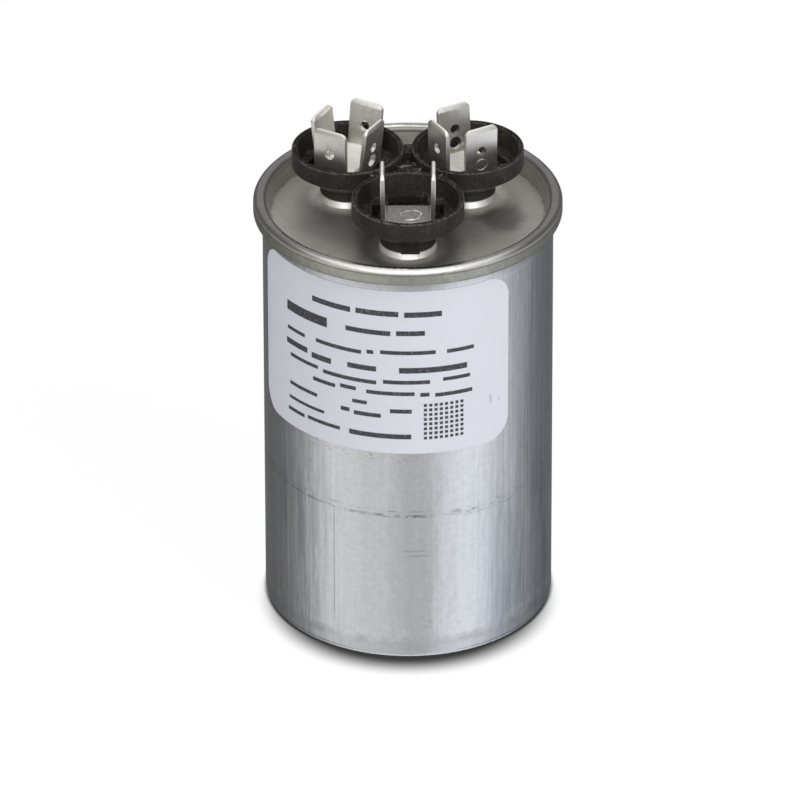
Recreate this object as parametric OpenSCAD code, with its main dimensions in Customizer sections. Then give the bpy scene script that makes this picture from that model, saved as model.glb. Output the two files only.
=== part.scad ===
// Round dual-run motor capacitor with a drawn can, a double-seamed lid and three terminal cups.
// Millimetres, +Z up. The origin is the centre of the can's base, and the fan cup faces -Y.

/* [Can] */
// Outside diameter of the can
can_dia = 50.8; // [48:0.1:54]
// Height from the base to the crest of the seam
case_height = 79.4; // [74:0.1:95]
// Sheet thickness of the can wall
can_wall = 0.5; // [0.4:0.05:0.6]
// Thickness of the can's floor
base_thick = 0.8; // [0.6:0.1:1.2]
// Outside radius of the corner between the floor and the wall
base_corner = 1.6; // [1.3:0.1:2]

/* [Lid and seam] */
// Sheet thickness of the lid
lid_sheet = 0.4; // [0.3:0.05:0.5]
// Height of the seam's outer face, from its crest to its lower curl
seam_height = 3.1; // [2.8:0.1:3.4]
// Radial step by which the can's neck widens inside the seam
neck_step = 0.15; // [0.1:0.05:0.3]
// Height of the can below the crest at which its neck starts to widen
neck_drop = 3.9; // [3.8:0.1:4.4]
// Gap between neighbouring layers of the seam
seam_gap = 0.05; // [0.02:0.01:0.08]
// Thickness of the sealing gasket over the can's curled edge
gasket_thick = 0.1; // [0.05:0.05:0.2]
// Outside radius of the two bends at the crest
crest_bend = 1; // [0.8:0.05:1.1]
// Depth of the lid's panel below the crest
panel_depth = 3.4; // [3:0.1:3.8]
// Upright part of the chuck wall below the crest
chuck_upright = 1.4; // [1.2:0.1:1.6]
// Radial taper of the chuck wall from the upright part to the panel
chuck_taper = 0.7; // [0.4:0.1:1]
// Outside diameter of a terminal collar
collar_dia = 9.85; // [9.2:0.05:10.4]
// Height of a collar's upright wall above the panel
collar_height = 1.25; // [1.1:0.05:1.6]
// Inside radius of the bend at a collar's foot
collar_foot = 0.3; // [0.2:0.05:0.4]
// Height of a collar's sloping shoulder
shoulder_height = 1.2; // [0.9:0.1:1.4]

/* [Terminal block] */
// Radius of the circle on which the three cups stand
pitch_radius = 12.1; // [11.6:0.1:12.6]
// Outside diameter of a cup
cup_dia = 19.6; // [19:0.1:20.4]
// Wall thickness of a cup at its rim
cup_wall = 0.95; // [0.7:0.05:1.2]
// Height of a cup's rim above the lid's panel
rim_height = 9.7; // [9.2:0.1:11]
// Depth of a cup from its rim to its floor
cup_depth = 3.3; // [2.6:0.1:3.4]
// Height of the upright outer wall of a cup
cup_wall_height = 3.2; // [2.6:0.1:3.4]
// Draft of the bowl between its rim and its floor
bowl_draft = 0.5; // [0.2:0.1:1]
// Radius of the rounded outer edge of the rim
rim_round = 0.25; // [0.1:0.05:0.35]
// Diameter of the neck that passes through the lid
neck_dia = 7.1; // [6.6:0.1:7.4]
// Width by which a cup's flat seat reaches past the collar's lip
seat_margin = 0.3; // [0.2:0.05:0.6]
// Distance of the web's straight edges from the can's axis
web_reach = 7.5; // [6.8:0.1:8.4]
// Drop of the web's top below the rims
web_drop = 0.3; // [0.1:0.1:0.8]
// Distance of the web recess's ends from the can's axis
recess_reach = 4.4; // [3.6:0.1:5]
// Depth of the recess in the web
recess_depth = 1.0; // [0.5:0.1:1.6]
// Length of each arm of the cross-shaped pocket in a cup's floor, tip to tip
pocket_length = 12.4; // [11:0.1:13]
// Clearance on each side of a terminal strip in its pocket
pocket_clear = 0.2; // [0.1:0.05:0.4]
// Width of the index key beside the fan collar
key_width = 3.3; // [2.4:0.1:4]
// Radial thickness of the index key
key_thick = 0.9; // [0.6:0.1:1.2]
// Gap between the index key's lower end and the collar's upper edge
key_gap = 0.45; // [0.2:0.05:0.8]
// Sideways offset of the index key
key_shift = 0.4; // [0:0.1:0.8]

/* [Terminal tabs] */
// Width of a quick-connect tab
strip_width = 6.35; // [6:0.05:6.5]
// Thickness of a quick-connect tab
strip_thick = 0.8; // [0.6:0.05:0.9]
// Clearance between a strip and the bent feet of a short bracket that straddles it
straddle_clear = 0.375; // [0.2:0.025:0.6]
// Outside width of a long bracket across its two tabs
long_span = 12.4; // [11.4:0.1:13]
// Height of the tab tips above a cup's floor
tab_rise = 9.2; // [8.4:0.1:10]
// Inside radius of the bend at the foot of a tab
tab_bend = 0.4; // [0.3:0.05:0.8]
// Radius of the rounded corners at a tab's tip
tip_corner = 1.2; // [0.8:0.1:1.6]
// Distance by which a tip corner's round crosses the tab's edges
tip_cross = 0.02; // [0.01:0.01:0.04]
// Length of the thinned lead-in at a tab's tip
tip_lead = 0.8; // [0.4:0.1:1.2]
// Depth by which each face is thinned at the tip
tip_thin = 0.18; // [0.1:0.02:0.24]
// Diameter of a tab's detent hole
detent_dia = 1.7; // [1.4:0.1:2]
// Distance of the detent hole from the tip
detent_drop = 4.5; // [4.2:0.1:4.8]
// Diameter of the lower hole in the tabs of a short bracket
slug_dia = 2.3; // [2:0.1:2.6]
// Distance of the lower hole below the detent hole
slug_pitch = 2.6; // [2.3:0.1:2.8]
// Width and depth of the groove round a struck disc, where the lower hole was left closed
struck_groove = 0.2; // [0.1:0.05:0.3]
// Outward lean of the fan tabs
fan_lean = 0.6; // [0:0.2:2]
// Outward lean of the front tab of the common long bracket
common_front_lean = 1; // [0:0.5:4]
// Outward lean of the rear tab of the common long bracket
common_rear_lean = 8; // [2:0.5:10]
// Outward lean of the tabs of the common short bracket
common_side_lean = 6.5; // [2:0.5:10]
// Outward lean of the front tab of the compressor short bracket
compressor_front_lean = 1; // [0:0.5:4]
// Outward lean of the rear tab of the compressor short bracket
compressor_rear_lean = 6; // [2:0.5:10]
// Outward lean of the compressor single tab
compressor_side_lean = 0.5; // [0:0.5:4]

/* [Studs and seals] */
// Diameter of a terminal stud
stud_dia = 3.2; // [2.8:0.1:3.6]
// Diameter of a stud's welding head
stud_head_dia = 6.0; // [5.2:0.1:6.3]
// Thickness of a stud's welding head
stud_head = 0.4; // [0.3:0.05:0.6]
// Diameter of a stud's clenched tail
stud_tail_dia = 5.2; // [4.6:0.1:5.4]
// Thickness of a stud's clenched tail
stud_tail = 0.8; // [0.5:0.1:1.2]
// Radial clearance round a stud
stud_clear = 0.05; // [0.03:0.01:0.1]
// Radial clearance between a neck and its collar's lip
lip_clear = 0.05; // [0.03:0.01:0.1]
// Diameter of the insulating washer under the lid
washer_dia = 11.6; // [11:0.1:12.4]
// Thickness of the insulating washer
washer_thick = 0.8; // [0.5:0.1:1.2]

/* [Inside] */
// Radial clearance between the can and the sleeve inside it
sleeve_clear = 0.1; // [0.05:0.05:0.3]
// Wall thickness of the insulating sleeve
sleeve_wall = 0.8; // [0.5:0.1:1]
// Thickness of the base insulator's rim
insulator_rim = 0.6; // [0.4:0.1:1]
// Room between the lid's panel and the interrupter disc
head_room = 5.3; // [4.8:0.1:7]
// Thickness of the interrupter disc
disc_thick = 1.5; // [1:0.1:2]
// Diameter of the three lead openings in the interrupter disc
disc_hole_dia = 8.4; // [8:0.1:9]
// Room between the interrupter disc and the winding's end
winding_room = 5.3; // [4:0.1:8]
// Radial room for fluid between the sleeve and the outer winding
winding_gap = 1.5; // [1:0.1:2.5]
// Outside diameter of the inner winding
inner_winding_dia = 28; // [26:0.1:28.4]
// Thickness of the barrier between the two windings
barrier_thick = 0.6; // [0.4:0.1:0.7]
// Outside diameter of the winding core
core_dia = 10; // [9:0.1:11]
// Wall thickness of the winding core
core_wall = 1.5; // [1:0.1:1.8]
// Length by which the core stands above the winding
core_stand = 1.0; // [0.6:0.1:1.5]
// Thickness of the sprayed metal on a winding's end
spray_thick = 0.6; // [0.4:0.1:0.8]
// Thickness of a lead strip
lead_thick = 0.4; // [0.3:0.05:0.5]
// Width of a lead strip
lead_width = 2.4; // [2:0.1:3]
// Outside diameter of a lead's eyelet
eyelet_dia = 6; // [5.4:0.1:6.4]
// Clearance between a stud's tail and the lead's drop beside it
lead_clear = 0.3; // [0.2:0.05:0.6]
// Length of a lead's soldered foot
lead_foot = 2.7; // [2:0.1:3]

/* [Label] */
// Thickness of the label
label_thick = 0.1; // [0.08:0.01:0.15]
// Height of the label
label_height = 32.4; // [28:0.1:36]
// Distance from the seam's crest down to the label's top edge
label_drop = 4.9; // [4.4:0.1:8]
// Angle of the label's left end, from the front
label_start = -73.5; // [-80:0.5:-60]
// Angle of the label's right end, from the front
label_end = 43; // [30:0.5:60]
// Radius of the label's corners
label_corner = 4.6; // [2:0.1:6]
// Distance by which a corner's round crosses the label's edges
corner_cross = 0.05; // [0.03:0.01:0.1]

/* [Hidden] */
$fn = 96;

// Directions of the three cups round the can's axis
fan_angle = -90;
compressor_angle = 30;
common_angle = 150;
cup_angles = [fan_angle, compressor_angle, common_angle];

// Radii of the can and, from the inside outwards, of the seam's five layers
can_r = can_dia / 2;
can_inner_r = can_r - can_wall;
inner_corner = base_corner - can_wall;
neck_out = can_r + neck_step;
neck_in = neck_out - can_wall;
chuck_out = neck_in - seam_gap;
chuck_in = chuck_out - lid_sheet;
cover_in = neck_out + seam_gap;
cover_out = cover_in + lid_sheet;
hook_in = cover_out + seam_gap;
hook_out = hook_in + can_wall;
seam_in = hook_out + seam_gap;
seam_out = seam_in + lid_sheet;
panel_r = chuck_in - chuck_taper;

// Bends of the can's curled edge and of the lid's lower curl
curl_r = (hook_out - neck_in) / 2;
curl_x = (hook_out + neck_in) / 2;
lid_curl_r = (seam_out - cover_in) / 2;
lid_curl_x = (seam_out + cover_in) / 2;

// Heights of the lid and seam
seam_ceiling = case_height - lid_sheet;
curl_top = seam_ceiling - gasket_thick;
curl_z = curl_top - curl_r;
lid_curl_z = case_height - seam_height + lid_curl_r;
crest_bend_z = case_height - crest_bend;
chuck_foot = case_height - chuck_upright;
panel_top = case_height - panel_depth;
panel_bottom = panel_top - lid_sheet;
collar_r = collar_dia / 2;
collar_bore = collar_r - lid_sheet;
collar_top = panel_top + collar_height;
lip_top = collar_top + shoulder_height;
neck_r = neck_dia / 2;
lip_bore = neck_r + lip_clear;
lip_r = lip_bore + lid_sheet;
collar_bend = collar_foot + lid_sheet;
flange_r = collar_r + collar_foot;

// Heights and radii of the terminal block
cup_r = cup_dia / 2;
cup_rim = panel_top + rim_height;
cup_floor = cup_rim - cup_depth;
wall_bottom = cup_rim - cup_wall_height;
bowl_r = cup_r - cup_wall;
pocket_floor = cup_floor - strip_thick - stud_head;
pocket_width = strip_width + 2 * pocket_clear;
web_top = cup_rim - web_drop;
key_r = collar_r + lip_clear;
seat_radius = lip_r + seat_margin;

// Studs, from the welding head down to the clenched tail
stud_r = stud_dia / 2;
washer_bottom = panel_bottom - washer_thick;
eyelet_bottom = washer_bottom - lead_thick;
tail_bottom = eyelet_bottom - stud_tail;
lead_offset = stud_tail_dia / 2 + lead_clear + lead_thick;

// Tab bends and tips, and the outside width of a short bracket across its two tabs
bend_out = tab_bend + strip_thick;
short_span = strip_width + 2 * (bend_out + straddle_clear);
tip_height = cup_floor + tab_rise;

// Heights inside the can
insulator_step = base_thick + inner_corner;
insulator_top = insulator_step + insulator_rim;
winding_bottom = insulator_top + spray_thick;
disc_top = panel_bottom - head_room;
disc_bottom = disc_top - disc_thick;
spray_top = disc_bottom - winding_room;
winding_top = spray_top - spray_thick;
sleeve_r = can_inner_r - sleeve_clear;
core_r = core_dia / 2;
inner_winding_r = inner_winding_dia / 2;
barrier_r = inner_winding_r + barrier_thick;
winding_r = sleeve_r - sleeve_wall - winding_gap;
lead_turn = disc_bottom - winding_room / 2;

// Cutting tools reach this far past the faces that they cut
past = 1;

// A quarter turn of bent sheet, first quadrant before it is turned
module quarter_bend(centre, inner, outer, turn) {
    translate(centre) rotate(turn) intersection() {
        difference() {
            circle(outer);
            circle(inner);
        }
        square(outer);
    }
}

// Places children at a cup's axis, with +X pointing away from the can's axis
module at_cup(angle) {
    rotate(angle) translate([pitch_radius, 0, 0]) children();
}

// A plain ring about the Z axis
module ring(inner, outer, bottom, top) {
    rotate_extrude() translate([inner, bottom]) square([outer - inner, top - bottom]);
}

// A half section with a rounded lower corner, from the axis outwards
module cornered_half(radius, bottom, top, corner) {
    translate([0, bottom + corner]) square([radius, top - bottom - corner]);
    translate([0, bottom]) square([radius - corner, corner]);
    translate([radius - corner, bottom + corner]) circle(corner);
}

// Half section of the can, with its neck, curl and body hook
module can_profile() {
    neck_start = case_height - neck_drop;
    difference() {
        cornered_half(can_r, 0, neck_start, base_corner);
        cornered_half(can_inner_r, base_thick, neck_start + past, inner_corner);
    }
    polygon([[can_inner_r, neck_start], [can_r, neck_start], [neck_out, lid_curl_z], [neck_in, lid_curl_z]]);
    translate([neck_in, lid_curl_z]) square([can_wall, curl_z - lid_curl_z]);
    quarter_bend([curl_x, curl_z], curl_r - can_wall, curl_r, 0);
    quarter_bend([curl_x, curl_z], curl_r - can_wall, curl_r, 90);
    translate([hook_in, lid_curl_z + seam_gap]) square([can_wall, curl_z - lid_curl_z - seam_gap]);
}

module can() {
    color("silver") rotate_extrude() can_profile();
}

// Half section of the lid's panel, chuck wall, crest, seaming wall and cover hook
module lid_profile() {
    inner_bend = crest_bend - lid_sheet;
    translate([0, panel_bottom]) square([panel_r, lid_sheet]);
    polygon([[panel_r, panel_bottom], [panel_r, panel_top], [chuck_in, chuck_foot], [chuck_out, chuck_foot],
        [panel_r + lid_sheet, panel_bottom]]);
    translate([chuck_in, chuck_foot]) square([lid_sheet, crest_bend_z - chuck_foot]);
    quarter_bend([chuck_in + crest_bend, crest_bend_z], inner_bend, crest_bend, 90);
    translate([chuck_in + crest_bend, seam_ceiling])
        square([seam_out - chuck_in - 2 * crest_bend, lid_sheet]);
    quarter_bend([seam_out - crest_bend, crest_bend_z], inner_bend, crest_bend, 0);
    translate([seam_in, lid_curl_z]) square([lid_sheet, crest_bend_z - lid_curl_z]);
    quarter_bend([lid_curl_x, lid_curl_z], lid_curl_r - lid_sheet, lid_curl_r, 180);
    quarter_bend([lid_curl_x, lid_curl_z], lid_curl_r - lid_sheet, lid_curl_r, 270);
    translate([cover_in, lid_curl_z]) square([lid_sheet, curl_z - lid_curl_z]);
}

// Half section of a collar drawn up from the panel in a bend and closed in on the neck
module collar_profile() {
    translate([flange_r, panel_bottom]) square(lid_sheet);
    quarter_bend([flange_r, panel_top + collar_foot], collar_foot, collar_bend, 180);
    translate([collar_bore, panel_top + collar_foot]) square([lid_sheet, collar_height - collar_foot]);
    polygon([[collar_bore, collar_top], [collar_r, collar_top], [lip_r, lip_top], [lip_bore, lip_top]]);
}

module lid() {
    color("darkkhaki") {
        difference() {
            rotate_extrude() lid_profile();
            for (angle = cup_angles)
                at_cup(angle) translate([0, 0, panel_bottom - past])
                    cylinder(r = flange_r, h = lid_sheet + 2 * past);
        }
        for (angle = cup_angles) at_cup(angle) rotate_extrude() collar_profile();
    }
}

// Half section of the room under the crest, between the inner faces of its two bends
module crest_room() {
    inner_bend = crest_bend - lid_sheet;
    start = chuck_in + crest_bend;
    end = seam_out - crest_bend;
    translate([start, crest_bend_z]) circle(inner_bend);
    translate([start, crest_bend_z]) square([end - start, inner_bend]);
    translate([end, crest_bend_z]) circle(inner_bend);
}

// Gasket that fills the room between the can's curl and the crest
module seam_gasket() {
    foot = curl_z + curl_r / 2;
    color("dimgray") rotate_extrude() difference() {
        intersection() {
            crest_room();
            translate([chuck_out, foot]) square([seam_in - chuck_out, seam_ceiling - foot]);
        }
        translate([curl_x, curl_z]) circle(curl_r);
    }
}

// Half section of one cup before its bowl is cut
module cup_profile() {
    polygon([[0, panel_bottom], [neck_r, panel_bottom], [neck_r, lip_top], [seat_radius, lip_top],
        [cup_r, wall_bottom], [cup_r, cup_rim - rim_round], [0, cup_rim - rim_round]]);
    translate([0, cup_rim - rim_round]) square([cup_r - rim_round, rim_round]);
    translate([cup_r - rim_round, cup_rim - rim_round]) circle(rim_round);
}

// Half section of a cup's bowl, with draft and an eased inner edge
module bowl_profile() {
    polygon([[0, cup_floor], [bowl_r - bowl_draft, cup_floor], [bowl_r, cup_rim - rim_round],
        [bowl_r + rim_round, cup_rim], [bowl_r + rim_round, cup_rim + past], [0, cup_rim + past]]);
}

// Cross-shaped pocket in which either bracket can lie
module pocket() {
    depth = cup_floor - pocket_floor + past;
    for (turn = [0, 90])
        rotate(turn) translate([-pocket_length / 2, -pocket_width / 2, pocket_floor])
            cube([pocket_length, pocket_width, depth]);
}

// Recess between the three cups, in the middle of the web
module web_recess() {
    translate([0, 0, web_top - recess_depth]) linear_extrude(recess_depth + past) difference() {
        rotate(fan_angle) circle(2 * recess_reach, $fn = 3);
        for (angle = cup_angles) rotate(angle) translate([pitch_radius, 0]) circle(cup_r);
    }
}

module terminal_block() {
    color("#202020") difference() {
        union() {
            for (angle = cup_angles) at_cup(angle) rotate_extrude() cup_profile();
            translate([0, 0, wall_bottom]) linear_extrude(web_top - wall_bottom)
                rotate(fan_angle) circle(2 * web_reach, $fn = 3);
            at_cup(fan_angle) translate([key_r, key_shift - key_width / 2, collar_top + key_gap])
                cube([key_thick, key_width, wall_bottom - collar_top - key_gap]);
        }
        for (angle = cup_angles) at_cup(angle) {
            rotate_extrude() bowl_profile();
            pocket();
            translate([0, 0, panel_bottom - past])
                cylinder(r = stud_r + stud_clear, h = cup_rim - panel_bottom);
        }
        web_recess();
    }
}

// Stud with its welding head in the pocket and its tail clenched under the lead's eyelet
module stud(angle) {
    color("lightgray") at_cup(angle) rotate_extrude() {
        translate([0, tail_bottom]) square([stud_tail_dia / 2, stud_tail]);
        translate([0, tail_bottom]) square([stud_r, pocket_floor - tail_bottom]);
        translate([0, pocket_floor]) square([stud_head_dia / 2, stud_head]);
    }
}

// Rubber ring that fills the collar round the neck
module seal(angle) {
    color("#303030") at_cup(angle) ring(neck_r, collar_bore, panel_bottom, collar_top);
}

// Insulating washer under the lid
module washer(angle) {
    color("tan") at_cup(angle) ring(stud_r + stud_clear, washer_dia / 2, washer_bottom, panel_bottom);
}

// Length of a leaning tab from its bend to its tip
function tab_length(rise, lean) = (rise - bend_out) / cos(lean);

// Outer side of one tab and its bend in edge view, in the bend centre's frame
module tab_outer(length, lean) {
    circle(bend_out);
    rotate(-lean) polygon([[0, 0], [bend_out, 0], [bend_out, length - tip_lead],
        [bend_out - tip_thin, length], [0, length]]);
}

// Inner side of one tab and its bend in edge view, cut from the outer side
module tab_inner(length, lean) {
    circle(tab_bend);
    rotate(-lean) polygon([[-past, 0], [tab_bend, 0], [tab_bend, length - tip_lead],
        [tab_bend + tip_thin, length], [tab_bend + tip_thin, length + past], [-past, length + past]]);
}

// Waste at a square outer corner at the origin that leaves a round across both edges
module corner_waste(radius, cross) {
    inset = radius - cross;
    translate([-inset, -inset]) difference() {
        square(radius + past);
        circle(radius);
    }
}

// What can stand below a tab's detent hole: nothing, an open hole, or a disc that was struck but not cut out
plain = 0;
holed = 1;
struck = 2;

// Cuts one tab's two tip corners, its detent hole and what stands below it
module tab_cuts(rise, lean, lower) {
    length = tab_length(rise, lean);
    middle = tab_bend + strip_thick / 2;
    reach = strip_thick + 2 * past;
    rotate([0, lean, 0]) {
        translate([middle, 0, length]) rotate([90, 0, 90]) linear_extrude(reach, center = true)
            for (side = [0, 1])
                mirror([side, 0]) translate([strip_width / 2, 0]) corner_waste(tip_corner, tip_cross);
        translate([middle, 0, length - detent_drop]) rotate([0, 90, 0])
            cylinder(d = detent_dia, h = reach, center = true);
        if (lower == holed)
            translate([middle, 0, length - detent_drop - slug_pitch]) rotate([0, 90, 0])
                cylinder(d = slug_dia, h = reach, center = true);
        if (lower == struck)
            translate([bend_out - struck_groove, 0, length - detent_drop - slug_pitch]) rotate([0, 90, 0])
                ring(slug_dia / 2 - struck_groove, slug_dia / 2, 0, struck_groove + past);
    }
}

// One strip bent into tabs at +X and, unless it is single, at -X, standing on Z = 0
module bracket(span, rise, leans, lowers = [plain, plain], single = false) {
    flat = span / 2 - bend_out;
    rear = single ? strip_width / 2 : flat;
    rear_cut = single ? rear + past : rear;
    sides = single ? [0] : [0, 1];
    difference() {
        rotate([90, 0, 0]) linear_extrude(strip_width, center = true) difference() {
            union() {
                translate([-rear, 0]) square([rear + flat, bend_out]);
                for (side = sides)
                    mirror([side, 0]) translate([flat, bend_out])
                        tab_outer(tab_length(rise, leans[side]), leans[side]);
            }
            translate([-rear_cut, strip_thick]) square([rear_cut + flat, rise + past]);
            for (side = sides)
                mirror([side, 0]) translate([flat, bend_out])
                    tab_inner(tab_length(rise, leans[side]), leans[side]);
        }
        for (side = sides)
            mirror([side, 0, 0]) translate([flat, 0, bend_out])
                tab_cuts(rise, leans[side], lowers[side]);
    }
}

// Places a bracket in a cup: the lower one lies in the pocket, the upper one on top of it
module seated(angle, turn, upper) {
    at_cup(angle) translate([0, 0, upper ? cup_floor : cup_floor - strip_thick])
        rotate(turn) children();
}

lower_rise = tab_rise + strip_thick;
upper_rise = tab_rise;

module common_short_bracket() {
    color("gainsboro") seated(common_angle, 0, false)
        bracket(short_span, lower_rise, [common_side_lean, common_side_lean], [holed, holed]);
}

module common_long_bracket() {
    color("gainsboro") seated(common_angle, 90, true)
        bracket(long_span, upper_rise, [common_front_lean, common_rear_lean]);
}

module compressor_short_bracket() {
    color("gainsboro") seated(compressor_angle, 90, false)
        bracket(short_span, lower_rise, [compressor_rear_lean, compressor_front_lean], [holed, struck]);
}

module compressor_single_tab() {
    color("gainsboro") seated(compressor_angle, 180, true)
        bracket(long_span, upper_rise, [compressor_side_lean], single = true);
}

module fan_bracket() {
    color("gainsboro") seated(fan_angle, 90, false)
        bracket(short_span, lower_rise, [fan_lean, fan_lean], [holed, holed]);
}

// Eyelet that a stud's tail clamps, shared by the three leads
module eyelet() {
    ring(stud_r + stud_clear, eyelet_dia / 2, eyelet_bottom, washer_bottom);
}

// Strip of a lead, from an outline in the plane through the can's axis
module lead_strip() {
    rotate([90, 0, 0]) linear_extrude(lead_width, center = true) children();
}

// Lead with an eyelet, a straight drop and a soldered foot, inwards or outwards of its stud
module drop_lead(angle, way) {
    shoulder = eyelet_dia / 2 - lead_thick;
    color("peru") at_cup(angle) {
        eyelet();
        lead_strip() mirror([way < 0 ? 1 : 0, 0]) {
            translate([shoulder, eyelet_bottom]) square([lead_offset - shoulder, lead_thick]);
            translate([lead_offset - lead_thick, spray_top])
                square([lead_thick, washer_bottom - spray_top]);
            translate([lead_offset, spray_top]) square([lead_foot, lead_thick]);
        }
    }
}

// Lead that turns in to the can's axis and runs down the core to the lower end spray
module common_lead() {
    shoulder = eyelet_dia / 2 - lead_thick;
    color("peru") at_cup(common_angle) {
        eyelet();
        lead_strip() mirror([1, 0]) {
            translate([shoulder, eyelet_bottom]) square([lead_offset - shoulder, lead_thick]);
            translate([lead_offset - lead_thick, lead_turn])
                square([lead_thick, washer_bottom - lead_turn]);
            translate([lead_offset - lead_thick, lead_turn])
                square([pitch_radius - lead_offset + lead_thick, lead_thick]);
            translate([pitch_radius - lead_thick / 2, winding_bottom])
                square([lead_thick, lead_turn + lead_thick - winding_bottom]);
        }
    }
}

module interrupter_disc() {
    color("saddlebrown") difference() {
        translate([0, 0, disc_bottom]) cylinder(r = sleeve_r, h = disc_thick);
        for (angle = cup_angles)
            at_cup(angle) translate([0, 0, disc_bottom - past])
                cylinder(d = disc_hole_dia, h = disc_thick + 2 * past);
    }
}

module insulating_sleeve() {
    color("wheat") ring(sleeve_r - sleeve_wall, sleeve_r, insulator_top, disc_bottom);
}

// Dish on the can's floor, with a rim above the corner that carries the sleeve
module base_insulator() {
    color("ivory") rotate_extrude() {
        translate([0, base_thick]) square([can_inner_r - inner_corner, inner_corner]);
        translate([0, insulator_step]) square([sleeve_r, insulator_rim]);
    }
}

module inner_winding() {
    color("lightsteelblue") ring(core_r, inner_winding_r, winding_bottom, winding_top);
}

module winding_barrier() {
    color("khaki") ring(inner_winding_r, barrier_r, winding_bottom, winding_top + spray_thick);
}

module outer_winding() {
    color("lightsteelblue") ring(barrier_r, winding_r, winding_bottom, winding_top);
}

module winding_core() {
    color("white") ring(core_r - core_wall, core_r, winding_bottom, spray_top + core_stand);
}

module inner_end_spray() {
    color("slategray") ring(core_r, inner_winding_r, winding_top, spray_top);
}

module outer_end_spray() {
    color("slategray") ring(barrier_r, winding_r, winding_top, spray_top);
}

module base_end_spray() {
    color("slategray") translate([0, 0, insulator_top]) cylinder(r = winding_r, h = spray_thick);
}

// Cuts one corner of the label, leaving a quarter round of the label's corner radius
module corner_cut(angle, height, side, up) {
    inset = label_corner - corner_cross;
    turn = side * inset / can_r * 180 / PI;
    rotate(angle + turn) translate([0, -can_r, height - up * inset]) rotate([90, 0, 0])
        linear_extrude(2 * past, center = true)
            mirror([side > 0 ? 1 : 0, 0]) mirror([0, up < 0 ? 1 : 0])
                translate([inset, inset]) corner_waste(label_corner, corner_cross);
}

module label() {
    top = case_height - label_drop;
    bottom = top - label_height;
    color("whitesmoke") difference() {
        rotate([0, 0, fan_angle + label_start])
            rotate_extrude(angle = label_end - label_start)
                translate([can_r, bottom]) square([label_thick, label_height]);
        corner_cut(label_start, top, 1, 1);
        corner_cut(label_start, bottom, 1, -1);
        corner_cut(label_end, top, -1, 1);
        corner_cut(label_end, bottom, -1, -1);
    }
}

can();
lid();
seam_gasket();
terminal_block();
label();
stud(common_angle);  // common_stud
stud(compressor_angle);  // compressor_stud
stud(fan_angle);  // fan_stud
seal(common_angle);  // common_seal
seal(compressor_angle);  // compressor_seal
seal(fan_angle);  // fan_seal
washer(common_angle);  // common_washer
washer(compressor_angle);  // compressor_washer
washer(fan_angle);  // fan_washer
common_short_bracket();
common_long_bracket();
compressor_short_bracket();
compressor_single_tab();
fan_bracket();
common_lead();
drop_lead(compressor_angle, -1);  // compressor_lead
drop_lead(fan_angle, 1);  // fan_lead
interrupter_disc();
insulating_sleeve();
base_insulator();
inner_winding();
outer_winding();
winding_barrier();
winding_core();
inner_end_spray();
outer_end_spray();
base_end_spray();
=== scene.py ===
"""Looks of a round dual-run motor capacitor.

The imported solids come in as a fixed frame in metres: Z runs up the can's axis from its base, and the fan
cup faces -Y, towards the camera. This script gives every solid its finish, eases the edges of the pressed
tabs, adds a weld bead and the label's plain printed bars, and sets the floor, the light and the camera.
"""
import logging
import math
from abc import ABC, abstractmethod
from dataclasses import dataclass
from enum import Enum
from functools import cached_property, reduce
from typing import Any, Iterable, Optional, Sequence, Union

import bmesh
import bpy
from mathutils import Matrix, Vector


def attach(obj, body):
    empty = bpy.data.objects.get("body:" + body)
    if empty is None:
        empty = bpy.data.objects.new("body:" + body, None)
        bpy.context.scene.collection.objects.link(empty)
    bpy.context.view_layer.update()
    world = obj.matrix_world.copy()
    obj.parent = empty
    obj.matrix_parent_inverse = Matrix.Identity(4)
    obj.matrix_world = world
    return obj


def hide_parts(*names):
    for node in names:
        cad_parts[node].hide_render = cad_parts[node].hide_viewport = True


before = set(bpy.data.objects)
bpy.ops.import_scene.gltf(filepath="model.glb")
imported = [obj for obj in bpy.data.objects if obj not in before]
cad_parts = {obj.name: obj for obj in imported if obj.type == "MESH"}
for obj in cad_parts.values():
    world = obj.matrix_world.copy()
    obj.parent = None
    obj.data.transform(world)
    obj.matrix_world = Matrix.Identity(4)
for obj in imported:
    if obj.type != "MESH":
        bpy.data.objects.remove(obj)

LOG = logging.getLogger("capacitor")
BODY = "root"

# Lengths are in millimetres. The finishes measure the turn round the can in radians.
MM = 0.001
CUP_PITCH = 12.1
CUP_ANGLES = (-90.0, 30.0, 150.0)
CUP_FLOOR = 82.4

# Bends under FLAT_ANGLE degrees count as flat. Faces over WIDE_FACE square millimetres are shaded flat.
FLAT_ANGLE = 0.5
WIDE_FACE = 8.0
# Loops of edges shorter than HOLE_LOOP are holes, and their edges are eased by HOLE_EASE.
HOLE_LOOP = 9.0
HOLE_EASE = 0.17
# Corners closer than MERGE_GAP become one, and so do faces that bend by less than SAME_PLANE degrees.
MERGE_GAP = 0.002
SAME_PLANE = 0.4
# A face begins to look up, and fully does, at these upright shares of its normal.
LOOKS_UP = (0.3, 0.8)
# Strokes: cycles along them for one across, cycles up the part, and the noise over which they fade.
STROKE_ALONG = 0.14
STROKE_UP = 0.3
STROKE_FADE = 0.06

Colour = tuple[float, float, float]
Point = tuple[float, float, float]
Spot = tuple[float, float]
# Where a mask is 0 and where it is 1.
Span = tuple[float, float]
# Middle, half width and fading edge of a mask.
Band = tuple[float, float, float]
# Cycles in a full turn, size and phase.
Wave = tuple[float, float, float]
Operand = Union["Signal", float]


def cup_centres() -> Iterable[Spot]:
    """X and Y of each cup's axis, in millimetres.

    Returns:
        The fan, compressor and common cups' axes.
    """
    for angle in CUP_ANGLES:
        turn = math.radians(angle)
        yield CUP_PITCH * math.cos(turn), CUP_PITCH * math.sin(turn)


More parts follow.
